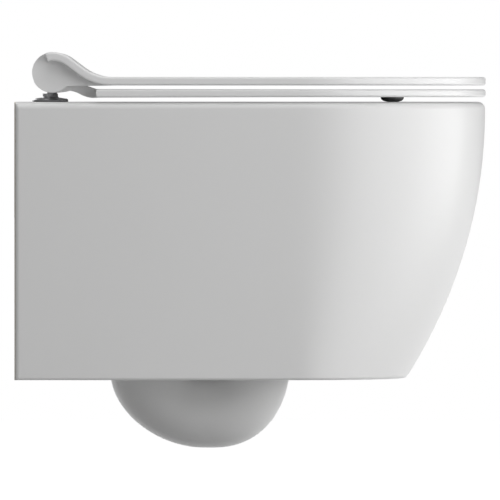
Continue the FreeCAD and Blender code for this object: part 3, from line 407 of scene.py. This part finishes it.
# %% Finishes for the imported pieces
slot_of = {part["node"]: part["material_slot"] for part in frame["record"]["subparts"]}
body_of = {node: body for body, members in frame["record"]["behaviour"]["bodies"].items()
           for node in members}
for node, packed in frame["nodes"].items():
    for material_slot in packed.material_slots:
        material_slot.material = finishes[slot_of[node]]
print(len(slot_of), "packed pieces dressed")

# %% [markdown]
# ## Smooth castings
#
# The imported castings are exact, but their meshes are loose triangles that share no points, so
# gloss shows every facet.  A copy is merged point by point and shaded smooth.  An edge stays sharp
# where its two faces turn by more than 30 degrees, which is where light really breaks on glazed
# clay.  The Weighted Normal modifier then lets large faces decide how light turns at their
# borders, so that a flat face stays flat up to its rounded rim.

# %% Tools that put a piece in the scene
SHARP_TURN = math.radians(30)


def shade_smooth(shape):
    """Smooth faces all over, and sharp edges where two faces turn by more than SHARP_TURN."""
    for face in shape.faces:
        face.smooth = True
    for edge in shape.edges:
        edge.smooth = edge.is_manifold and edge.calc_face_angle(math.pi) < SHARP_TURN


def weigh_normals(made):
    """Large flat faces decide how light turns at a rounded border."""
    keep_flat = made.modifiers.new("keep_flat", "WEIGHTED_NORMAL")
    keep_flat.keep_sharp = True


def put_in_scene(name, mesh, node, replaced):
    """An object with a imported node's finish, which rides with it and stands in for some nodes."""
    made = bpy.data.objects.new(name, mesh)
    scene.collection.objects.link(made)
    mesh.materials.clear()
    mesh.materials.append(finishes[slot_of[node]])
    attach(made, body_of[node])
    for packed in replaced:
        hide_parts(packed)
    return made


print("tools that place a piece are ready")

# %% Smooth copies of the castings
SAME_POINT = 0.002 * MM      # points of a mesh that are closer than this are merged


def smooth_copy(node):
    """A merged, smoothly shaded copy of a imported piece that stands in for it."""
    mesh = frame["nodes"][node].data.copy()
    shape = bmesh.new()
    shape.from_mesh(mesh)
    before = len(shape.verts)
    bmesh.ops.remove_doubles(shape, verts=shape.verts, dist=SAME_POINT)
    shade_smooth(shape)
    shape.to_mesh(mesh)
    shape.free()
    made = put_in_scene(f"smooth_{node}", mesh, node, [node])
    weigh_normals(made)
    print(node, before, "points merged to", len(mesh.vertices))
    return made


for node in ("pan_back", "pan_crown", "inlet_seal", "seat_damper", "lid_damper",
             "lid_bush", "hinge_post_left", "hinge_post_right", "hinge_plug_left",
             "hinge_plug_right", "hinge_gasket_left", "hinge_gasket_right"):
    smooth_copy(node)

# %% [markdown]
# ### The sump under the pan
#
# The round sump hangs through the floor of the pan.  It isn't a plain ball: its lowest point lies
# a centimetre nearer to the front than the middle of its rim, because the water turns back there
# towards the wall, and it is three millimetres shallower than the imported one.  So each point of
# the copy slides forwards with the square of its depth under the floor, and rises in proportion
# to that depth.

# %% The sump
PAN_FOOT, SUMP_FOOT = -209.3 * MM, -286.5 * MM
SUMP_LEAN, SUMP_LIFT = 10.0 * MM, 3.0 * MM

sump = smooth_copy("pan_sump")
for point in sump.data.vertices:
    depth = max(PAN_FOOT - point.co.z, 0.0) / (PAN_FOOT - SUMP_FOOT)
    point.co.y -= SUMP_LEAN * depth * depth
    point.co.z += SUMP_LIFT * depth
print("the lowest point of the sump lies", round(SUMP_LEAN / MM, 1), "mm further forward")

# %% [markdown]
# ## The pan as one smooth casting
#
# A real pan is cast in plaster moulds as several clay pieces, which are stuck together while
# they are damp and sponged until no joint shows.  The glaze then rounds every edge a little
# more.  So the visible pan is drawn again here as one skin, from the same rule as the packed
# castings: level curves shaped like a D, whose front follows a large circle, and ovals for the
# bowl.  Each level curve is a ring with the same number of points, and neighbouring rings are
# joined by quads.

# %% The level curves of the pan
PAN_LENGTH, PAN_HALF, NOSE_LENGTH = 499.5 * MM, 180.0 * MM, 199.5 * MM
RIM, SKIRT_DEPTH = 85.0 * MM, 294.0 * MM
FRONT_RADIUS, SIDE_TAPER, NOSE_FULLNESS = 528.0 * MM, 5.0 * MM, 0.57
RIM_ROUNDING, SKIRT_ROUNDING, BACK_ROUNDING = 8.0 * MM, 3.0 * MM, 5.5 * MM
CHINA, DECK_THICKNESS, FLOOR_THICKNESS = 11.0 * MM, 14.0 * MM, 12.0 * MM
BEHIND = 8.0 * MM            # how far a ring runs past the wall, where it is cut off later
SMALLEST_CORNER = 0.4 * MM
BOWL_MIDDLE = -292.0 * MM
CORNER_STEPS, SIDE_STEPS, NOSE_STEPS = 8, 15, 40


def bezier(start, first, second, end, way):
    """The point a share of the way along a curve with two handles."""
    back = 1.0 - way
    return tuple(back ** 3 * a + 3 * back * back * way * b + 3 * back * way * way * c
                 + way ** 3 * d for a, b, c, d in zip(start, first, second, end))


def half_ring(half, length, nose, corner):
    """Half of the D, from the middle of its back round to the tip of its nose."""
    straight = length - nose
    points = [(0.0, BEHIND), ((half - corner) / 2, BEHIND), (half - corner, BEHIND)]
    for step in range(CORNER_STEPS + 1):
        turn = math.radians(90 * step / CORNER_STEPS)
        points.append((half - corner + corner * math.sin(turn),
                       -corner + corner * math.cos(turn)))
    for step in range(1, SIDE_STEPS + 1):
        points.append((half, -corner - (straight - corner) * step / SIDE_STEPS))
    handle = nose * NOSE_FULLNESS
    for step in range(1, NOSE_STEPS + 1):
        points.append(bezier((half, -straight), (half, -straight - handle),
                             (half * NOSE_FULLNESS, -length), (0.0, -length),
                             step / NOSE_STEPS))
    return points


def d_ring(drop, inset=0.0):
    """The whole D at a drop below the rim, drawn in by an inset, as points round the pan."""
    below = drop - RIM_ROUNDING
    set_back = FRONT_RADIUS - math.sqrt(FRONT_RADIUS ** 2 - below ** 2)
    half = PAN_HALF - SIDE_TAPER * drop / SKIRT_DEPTH - inset
    length, nose = PAN_LENGTH - set_back - inset, NOSE_LENGTH - set_back - inset
    right = half_ring(half, length, nose, max(BACK_ROUNDING - inset, SMALLEST_CORNER))
    left = [(-x, y) for x, y in right[-2:0:-1]]
    return [(x, y, RIM - drop) for x, y in right + left]


outline = d_ring(0.0)
AROUND = len(outline)
directions = [math.atan2(y - BOWL_MIDDLE, x) for x, y, z in outline]
print("each ring has", AROUND, "points")


def oval_ring(half_x, half_y, middle, level):
    """An oval whose points lie in the same directions as those of the D."""
    points = []
    for turn in directions:
        reach = 1.0 / math.hypot(math.cos(turn) / half_x, math.sin(turn) / half_y)
        points.append((reach * math.cos(turn), middle + reach * math.sin(turn), level))
    return points


# %% [markdown]
# ### From ring to ring
#
# The skin is one closed tour: up the inside of the basin, over the flushing shelf and the rolled
# lip, across the deck, round the rim, down the outside and in under the skirt, then up the
# hidden side of the walls, under the deck and down round the outside of the bowl to the throat
# again.  Glaze softens the two edges of the shelf to a few millimetres.

# %% Rings of the bowl
BOWL_HALF, BOWL_REACH = 128.0 * MM, 170.0 * MM
SHELF_LEVEL, SHELF_WIDTH = RIM - 34.0 * MM, 12.0 * MM
THROAT_LEVEL, THROAT_RADIUS, THROAT_PLACE = RIM - 281.0 * MM, 32.5 * MM, -248.0 * MM
BASIN_BACK, BASIN_FRONT, BASIN_FULLNESS = 114.0 * MM, 202.0 * MM, 1.3
LIP, SHELF_EDGE, SHELF_CORNER = 6.0 * MM, 3.0 * MM, 4.5 * MM
BASIN_RINGS, OUTSIDE_RINGS, INSIDE_RINGS, UNDER_RINGS = 26, 36, 12, 14
DECK_INSETS = (26.0 * MM, 14.0 * MM)


def basin_ring(way, thickness):
    """Half width, half length, middle and level of the basin: 0 at the shelf, 1 at the throat."""
    share = 1.0 - way ** BASIN_FULLNESS
    half = THROAT_RADIUS + (BOWL_HALF - SHELF_WIDTH - THROAT_RADIUS) * share + thickness
    back = THROAT_RADIUS + (BASIN_BACK - THROAT_RADIUS) * share + thickness
    front = THROAT_RADIUS + (BASIN_FRONT - THROAT_RADIUS) * share + thickness
    level = SHELF_LEVEL + (THROAT_LEVEL - SHELF_LEVEL) * way
    middle = THROAT_PLACE - (front - back) / 2
    return half, (front + back) / 2, middle, level


def arc_steps(count, start, end):
    """Cosine and sine at even steps between two angles in degrees."""
    turns = [math.radians(start + (end - start) * step / count) for step in range(count + 1)]
    return [(math.cos(turn), math.sin(turn)) for turn in turns]


def bowl_ring(grow, level):
    """The oval of the bowl's mouth, made wider all round by a growth."""
    return oval_ring(BOWL_HALF + grow, BOWL_REACH + grow, BOWL_MIDDLE, level)


print("the bowl is", round(2 * BOWL_HALF / MM), "mm wide inside its collar")

# %% Up the inside of the basin, across the shelf, up the collar and over the lip
tour = []
first_way = SHELF_EDGE / (SHELF_LEVEL - THROAT_LEVEL)
for step in range(BASIN_RINGS + 1):
    way = 1.0 + (first_way - 1.0) * step / BASIN_RINGS
    tour.append(oval_ring(*basin_ring(way, 0.0)))
edge_half, edge_reach, edge_middle, edge_level = basin_ring(first_way, 0.0)
for across, up in arc_steps(4, 180, 90)[1:]:
    grow = SHELF_EDGE * (1 + across)
    tour.append(oval_ring(edge_half + grow, edge_reach + grow, edge_middle,
                          edge_level + SHELF_EDGE * up))
for across, up in arc_steps(5, 270, 360):
    tour.append(bowl_ring(-SHELF_CORNER * (1 - across), SHELF_LEVEL + SHELF_CORNER * (1 + up)))
for across, up in arc_steps(8, 180, 90):
    tour.append(bowl_ring(LIP * (1 + across), RIM - LIP * (1 - up)))
print(len(tour), "rings as far as the top of the lip")

# %% Across the deck, round the rim, down the outside and in under the skirt
for inset in DECK_INSETS:
    tour.append(d_ring(0.0, inset))
for across, up in arc_steps(10, 90, 0):
    tour.append(d_ring(RIM_ROUNDING * (1 - up), RIM_ROUNDING * (1 - across)))
side_end = SKIRT_DEPTH - SKIRT_ROUNDING
for step in range(1, OUTSIDE_RINGS + 1):
    tour.append(d_ring(RIM_ROUNDING + (side_end - RIM_ROUNDING) * step / OUTSIDE_RINGS))
for across, up in arc_steps(6, 0, -90)[1:]:
    tour.append(d_ring(SKIRT_DEPTH - SKIRT_ROUNDING * (1 + up), SKIRT_ROUNDING * (1 - across)))
print(len(tour), "rings as far as the foot of the skirt")

# %% Up the hidden side of the walls, under the deck and down round the bowl to the throat
tour.append(d_ring(SKIRT_DEPTH, CHINA))
floor_top = SKIRT_DEPTH - FLOOR_THICKNESS
for step in range(INSIDE_RINGS + 1):
    drop = floor_top + (DECK_THICKNESS - floor_top) * step / INSIDE_RINGS
    tour.append(d_ring(drop, CHINA))
for level in (RIM - DECK_THICKNESS, SHELF_LEVEL - CHINA):
    tour.append(bowl_ring(CHINA, level))
foot_way = CHINA / (SHELF_LEVEL - THROAT_LEVEL)
for step in range(UNDER_RINGS + 1):
    way = foot_way + (1.0 - foot_way) * step / UNDER_RINGS
    tour.append(oval_ring(*basin_ring(way, CHINA)))
print(len(tour), "rings make", len(tour) * AROUND, "quads")

# %% [markdown]
# ### Building a skin
#
# Four small tools: one joins rings into a mesh, one makes an object of a finished shape, one cuts
# through part of a mesh, and one picks the points out of what such a step has made.

# %% Tools for modelled pieces
ON_PLANE = 1e-7              # a point this close to a cut lies on it


def skin_of(rings, closed=True):
    """Quads from each ring to the next, and in a closed skin from the last back to the first."""
    shape = bmesh.new()
    rows = [[shape.verts.new(point) for point in ring] for ring in rings]
    following = rows[1:] + rows[:1] if closed else rows[1:]
    for row, after in zip(rows, following):
        for place in range(len(row)):
            onward = (place + 1) % len(row)
            shape.faces.new((row[place], row[onward], after[onward], after[place]))
    return shape


def add_piece(name, shape, node, replaced=None):
    """An object made of the modelled shape, which stands in for its own node or for others."""
    bmesh.ops.recalc_face_normals(shape, faces=shape.faces)
    shade_smooth(shape)
    mesh = bpy.data.meshes.new(name)
    shape.to_mesh(mesh)
    shape.free()
    print(name, "has", len(mesh.polygons), "faces")
    return put_in_scene(name, mesh, node, [node] if replaced is None else replaced)


def cut_away(shape, faces, point, direction):
    """A straight cut through some faces; both sides stay."""
    faces = [face for face in faces if face.is_valid]
    edges = {edge for face in faces for edge in face.edges}
    points = {corner for face in faces for corner in face.verts}
    bmesh.ops.bisect_plane(shape, geom=[*points, *edges, *faces], dist=ON_PLANE,
                           plane_co=point, plane_no=direction)


def points_of(items):
    """The points among some points, edges and faces."""
    return [item for item in items if isinstance(item, bmesh.types.BMVert)]


print("tools for modelled pieces are ready")

# %% [markdown]
# ### Flush slots and the cut at the wall
#
# Flush water reaches the shelf through two slots low in the back of the collar.  The faces
# around each slot are cut along its borders, the ones inside are taken out, and the border is
# drawn back through the clay.  Last, everything behind the wall plane is cut off.

# %% Flush slots
SLOT_HALF, SLOT_MIDDLE = 13.0 * MM, 42.0 * MM
SLOT_LOW, SLOT_HIGH = SHELF_LEVEL + 2.2 * MM, SHELF_LEVEL + 9.5 * MM
COLLAR_BACK = BOWL_MIDDLE + BOWL_REACH
SLOT_DEPTH, BEFORE_COLLAR, BEHIND_COLLAR = 12.5 * MM, 26.0 * MM, 13.0 * MM
SLOT_REGION, REGION_TOP = 75.0 * MM, RIM - DECK_THICKNESS + 8.0 * MM
SLOT_FRONT = -170.0 * MM
BOWL_SIDE = 1.02             # an oval 2% larger than the bowl's mouth lies inside the clay

pan_skin = skin_of(tour)


def near_slots(face):
    """True for the faces that the slots' borders may cut through."""
    middle = face.calc_center_median()
    return (abs(middle.x) < SLOT_REGION and middle.y > COLLAR_BACK - BEFORE_COLLAR
            and SHELF_LEVEL < middle.z < REGION_TOP)


for edge in (SLOT_MIDDLE - SLOT_HALF, SLOT_MIDDLE + SLOT_HALF):
    for side in (-1, 1):
        cut_away(pan_skin, [face for face in pan_skin.faces if near_slots(face)],
                 (side * edge, 0, 0), (1, 0, 0))
for level in (SLOT_LOW, SLOT_HIGH):
    cut_away(pan_skin, [face for face in pan_skin.faces if near_slots(face)],
             (0, 0, level), (0, 0, 1))


def inside_slot(face):
    """True for a face that one of the slots takes away."""
    middle = face.calc_center_median()
    return (abs(abs(middle.x) - SLOT_MIDDLE) < SLOT_HALF and SLOT_LOW < middle.z < SLOT_HIGH
            and SLOT_FRONT < middle.y < COLLAR_BACK + BEHIND_COLLAR)


def faces_bowl(edge):
    """True for an edge on the bowl's side of the collar."""
    middle = (edge.verts[0].co + edge.verts[1].co) / 2
    away = math.hypot(middle.x / BOWL_HALF, (middle.y - BOWL_MIDDLE) / BOWL_REACH)
    return away < BOWL_SIDE


bmesh.ops.delete(pan_skin, geom=[face for face in pan_skin.faces if inside_slot(face)],
                 context="FACES")
borders = [edge for edge in pan_skin.edges if edge.is_boundary]
front_borders = [edge for edge in borders if faces_bowl(edge)]
print(len(borders), "border edges, of which", len(front_borders), "face the bowl")
drawn = bmesh.ops.extrude_edge_only(pan_skin, edges=front_borders)["geom"]
bmesh.ops.translate(pan_skin, verts=points_of(drawn), vec=(0, SLOT_DEPTH, 0))

# %% The cut at the wall
WALL_CUT = -0.1 * MM         # a hair in front of the wall
cut = bmesh.ops.bisect_plane(
    pan_skin, geom=[*pan_skin.verts, *pan_skin.edges, *pan_skin.faces], dist=ON_PLANE,
    plane_co=(0, WALL_CUT, 0), plane_no=(0, 1, 0), clear_outer=True)["geom_cut"]
wall_edges = [item for item in cut if isinstance(item, bmesh.types.BMEdge)]
filled = bmesh.ops.triangle_fill(pan_skin, edges=wall_edges, use_beauty=True)["geom"]
print("the cut at the wall has", len(wall_edges), "edges and",
      sum(isinstance(item, bmesh.types.BMFace) for item in filled), "faces")
PAN_NODES = ["pan_deck", "pan_nose", "pan_side_left", "pan_side_right", "pan_collar",
             "pan_basin", "pan_floor"]
weigh_normals(add_piece("pan_skin", pan_skin, "pan_deck", PAN_NODES))

# %% [markdown]
# ### The floor of the pan
#
# The skirt is closed below by a flat plate.  The trap passes through it twice, and behind it the
# pan is open, so that a fitter can reach the studs and pipes from below.

# %% The floor plate
ACCESS_REACH, ACCESS_CORNER = 72.0 * MM, 20.0 * MM
PIPE_RADIUS, PIPE_PLACE, PIPE_TURN = 43.4 * MM, -143.0 * MM, 6
PLATE_LEVEL = RIM - SKIRT_DEPTH
inner = d_ring(SKIRT_DEPTH, CHINA)
right_side = [(x, y) for x, y, z in inner if x > 0 and y < -ACCESS_REACH - ACCESS_CORNER]
widest = max(x for x, y in right_side)
corner = [(widest - ACCESS_CORNER * (1 - across), -ACCESS_REACH - ACCESS_CORNER * (1 - up))
          for across, up in arc_steps(6, 90, 0)]
tip = [(x, y) for x, y, z in inner if abs(x) < TINY and y < BOWL_MIDDLE]
half_outline = corner + right_side
plate_outline = half_outline + tip + [(-x, y) for x, y in half_outline[::-1]]

plate = bmesh.new()
loops = [plate_outline]
for middle in (THROAT_PLACE, PIPE_PLACE):
    loops.append([(PIPE_RADIUS * math.cos(math.radians(turn)),
                   middle + PIPE_RADIUS * math.sin(math.radians(turn)))
                  for turn in range(0, 360, PIPE_TURN)])
for loop in loops:
    points = [plate.verts.new((x, y, PLATE_LEVEL)) for x, y in loop]
    for first, second in zip(points, points[1:] + points[:1]):
        plate.edges.new((first, second))
bmesh.ops.triangle_fill(plate, edges=plate.edges, use_beauty=True)
thick = bmesh.ops.extrude_face_region(plate, geom=plate.faces[:])["geom"]
bmesh.ops.translate(plate, verts=points_of(thick), vec=(0, 0, FLOOR_THICKNESS))
add_piece("pan_plate", plate, "pan_floor", [])

# %% [markdown]
# ## Seat and lid
#
# A pressed seat is thinnest along its edge: its top falls away a little from the flat, and the
# light under it shows a clear gap above the pan and another below the lid.  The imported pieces
# are one to two millimetres thicker there.  So their copies are drawn in: points in the flat part
# of each plate slide towards its thinner form, and the slide fades out towards the hinge.

# %% Seat ring and lid
SEAT_FOOT, SEAT_TOP = 88.6 * MM, 99.0 * MM
LID_FOOT, LID_TOP = 101.6 * MM, 111.3 * MM
THIN_SEAT = (90.0 * MM, 98.3 * MM)
THIN_LID = (102.5 * MM, LID_TOP)
FADE_START, FADE_END = -106.0 * MM, -66.0 * MM


def share_of(value, low, high):
    """How far a value lies on the way from low to high, between 0 and 1."""
    return min(max((value - low) / (high - low), 0.0), 1.0)


def draw_in(node, foot, top, thin):
    """A smooth copy of a plate whose flat part is pressed to a thinner form."""
    for point in smooth_copy(node).data.vertices:
        height = share_of(point.co.z, foot, top)
        way = share_of(point.co.y, FADE_START, FADE_END)
        flat = 1.0 - way * way * (3 - 2 * way)
        if point.co.z <= top + TINY:
            wanted = thin[0] + (thin[1] - thin[0]) * height
            point.co.z += (wanted - (foot + (top - foot) * height)) * flat


draw_in("seat_ring", SEAT_FOOT, SEAT_TOP, THIN_SEAT)
draw_in("lid", LID_FOOT, LID_TOP, THIN_LID)

# %% [markdown]
# ## Turned and threaded pieces
#
# Feet, studs, washers and nuts are round, so each is a profile spun about an axis.  A thread is
# a ring whose radius rises and falls once along each pitch, and whose start slides along the
# axis by one pitch in a full turn, so the ridge runs up the stud as one helix.

# %% Tools for turned pieces
FULL_TURN, SIXTH = math.radians(360), math.radians(60)
ROUND_STEPS, EDGE_STEPS = 48, 4
UP, INTO_WALL = "Z", "Y"


def lathe(profile):
    """Spins (radius, height) points about Z into a closed skin."""
    shape = bmesh.new()
    points = [shape.verts.new((radius, 0, height)) for radius, height in profile]
    edges = [shape.edges.new(pair) for pair in zip(points, points[1:] + points[:1])]
    bmesh.ops.spin(shape, geom=points + edges, cent=(0, 0, 0), axis=(0, 0, 1), dvec=(0, 0, 0),
                   angle=FULL_TURN, steps=ROUND_STEPS, use_merge=True)
    bmesh.ops.remove_doubles(shape, verts=shape.verts, dist=SAME_POINT)
    return shape


def stand(shape, place, along=UP):
    """Moves a piece drawn along Z to its place, turned so that Z points the given way."""
    if along == INTO_WALL:
        bmesh.ops.rotate(shape, verts=shape.verts, cent=(0, 0, 0),
                         matrix=Matrix.Rotation(math.radians(-90), 3, "X"))
    bmesh.ops.translate(shape, verts=shape.verts, vec=place)
    return shape


def rounded_profile(inner, outer, low, high, corner):
    """A ring's section with its outer corners rounded."""
    profile = [(inner, low)]
    for across, up in arc_steps(EDGE_STEPS, -90, 0):
        profile.append((outer - corner * (1 - across), low + corner * (1 + up)))
    for across, up in arc_steps(EDGE_STEPS, 0, 90):
        profile.append((outer - corner * (1 - across), high - corner * (1 - up)))
    return profile + [(inner, high)]


print("tools for turned pieces are ready")

# %% Threads and nuts
THREAD_STEPS, ROWS_PER_PITCH = 24, 4
NUT_FACE_SHARE, NUT_CONE_SHARE = 0.97, 0.6


def threaded(radius, depth, pitch, low, high):
    """A stud with a helical thread that fades out at both ends."""
    rows = int((high - low) / pitch * ROWS_PER_PITCH)
    rings = []
    for row in range(rows + 1):
        level = low + (high - low) * row / rows
        end_fade = min(1.0, (level - low) / pitch, (high - level) / pitch)
        ring = []
        for step in range(THREAD_STEPS):
            turn = FULL_TURN * step / THREAD_STEPS
            wave = 0.5 + 0.5 * math.cos(FULL_TURN * (level / pitch - step / THREAD_STEPS))
            reach = radius - depth * (1.0 - wave * end_fade)
            ring.append((reach * math.cos(turn), reach * math.sin(turn), level))
        rings.append(ring)
    shape = skin_of(rings, closed=False)
    points = shape.verts[:]
    shape.faces.new(points[:THREAD_STEPS][::-1])
    shape.faces.new(points[-THREAD_STEPS:])
    return shape


def hex_nut(flats, bore, low, high):
    """A hexagon with the corners taken off by a cone at both ends, and a bore through it."""
    reach = flats / 2
    tip, face = reach / math.cos(SIXTH / 2), reach * NUT_FACE_SHARE
    ease = (tip - reach) * NUT_CONE_SHARE
    turns = [FULL_TURN * step / ROUND_STEPS for step in range(ROUND_STEPS)]
    rings = []
    for level, cone in ((low, face), (low + ease, tip), (high - ease, tip), (high, face)):
        ring = []
        for turn in turns:
            within = (turn + SIXTH / 2) % SIXTH - SIXTH / 2
            out = min(reach / math.cos(within), cone)
            ring.append((out * math.cos(turn), out * math.sin(turn), level))
        rings.append(ring)
    for level in (high, low):
        rings.append([(bore * math.cos(turn), bore * math.sin(turn), level) for turn in turns])
    return skin_of(rings)


print("threads and nuts are ready")

# %% [markdown]
# ### Feet under the seat
#
# Two soft feet near the front keep the seat off the glaze.  Each is a shallow bowl standing on
# its small end, pressed a little flat where it meets the pan.

# %% Seat feet
FOOT_SIDE, FOOT_OUT, FOOT_RADIUS, FOOT_SOLE = 131.0 * MM, 400.5 * MM, 11.4 * MM, 4.2 * MM
FOOT_BRIM, FOOT_HOLE = 0.5 * MM, 0.4 * MM
STEM_RADIUS, STEM_TOP = 2.9 * MM, 93.0 * MM
HAIR = 0.1 * MM              # off the glaze below, and into the seat above
foot_low, foot_high = RIM + HAIR, THIN_SEAT[0] + HAIR
sections = [(FOOT_HOLE, foot_low)]
for across, up in arc_steps(8, -90, 0):
    sections.append((FOOT_SOLE + (FOOT_RADIUS - FOOT_SOLE) * across,
                     foot_low + (foot_high - FOOT_BRIM - foot_low) * (1 + up)))
sections += [(FOOT_RADIUS, foot_high), (STEM_RADIUS, foot_high), (STEM_RADIUS, STEM_TOP),
             (FOOT_HOLE, STEM_TOP)]
for side, name in ((-1, "left"), (1, "right")):
    place = (side * FOOT_SIDE, -FOOT_OUT, 0)
    add_piece(f"foot_{name}", stand(lathe(sections), place), f"seat_buffer_{name}")

# %% [markdown]
# ### Hinge fixings
#
# Each hinge post is clamped by a threaded stud that runs down through the deck, through a rubber
# plug and into a nylon nut.  Only the part under the deck shows.

# %% Hinge studs, nuts and pins
HINGE_SIDE, POST_OUT = 77.5 * MM, 36.2 * MM
STUD_RADIUS, STUD_FOOT, STUD_HEAD = 3.0 * MM, RIM - 38.0 * MM, RIM + 7.6 * MM
THREAD_DEPTH, THREAD_PITCH = 0.35 * MM, 1.0 * MM
PLUG_HEIGHT = 12.0 * MM
NUT_FLATS, NUT_BORE, NUT_HEIGHT = 13.0 * MM, 3.1 * MM, 7.0 * MM
NUT_TOP = RIM - DECK_THICKNESS - PLUG_HEIGHT
for side, name in ((-1, "left"), (1, "right")):
    place = (side * HINGE_SIDE, -POST_OUT, 0)
    stud = threaded(STUD_RADIUS, THREAD_DEPTH, THREAD_PITCH, STUD_FOOT, STUD_HEAD)
    add_piece(f"stud_{name}", stand(stud, place), f"hinge_stud_{name}")
    nut = hex_nut(NUT_FLATS, NUT_BORE, NUT_TOP - NUT_HEIGHT, NUT_TOP)
    add_piece(f"nut_{name}", stand(nut, place), f"hinge_nut_{name}")
    smooth_copy(f"hinge_axle_{name}")

# %% [markdown]
# ### Wall fixings
#
# On each wall stud sit a nylon sleeve with a flange, a washer and a nut.  The washer is stamped,
# so its edges are rounded, and the nut's corners are turned off.

# %% Wall fixings
STUD_SPACING, BRIDGE, CLEAR_BORE = 180.0 * MM, 18.0 * MM, 6.55 * MM
FLANGE, WASHER_THICKNESS = 2.5 * MM, 2.5 * MM
WASHER_RADIUS, WASHER_EDGE = 14.0 * MM, 0.5 * MM
WALL_NUT_FLATS, WALL_NUT_HEIGHT = 19.0 * MM, 10.0 * MM
SLEEVE_FACE = BRIDGE + FLANGE
WASHER_FACE = SLEEVE_FACE + WASHER_THICKNESS
NUT_FACE = WASHER_FACE + WALL_NUT_HEIGHT
washer_section = rounded_profile(CLEAR_BORE, WASHER_RADIUS, -WASHER_FACE, -SLEEVE_FACE,
                                 WASHER_EDGE)
for side, name in ((-1, "left"), (1, "right")):
    place = (side * STUD_SPACING / 2, 0, 0)
    washer = lathe(washer_section)
    add_piece(f"washer_{name}", stand(washer, place, INTO_WALL), f"fixing_washer_{name}")
    nut = hex_nut(WALL_NUT_FLATS, CLEAR_BORE, -NUT_FACE, -WASHER_FACE)
    add_piece(f"wall_nut_{name}", stand(nut, place, INTO_WALL), f"fixing_nut_{name}")
    smooth_copy(f"fixing_sleeve_{name}")
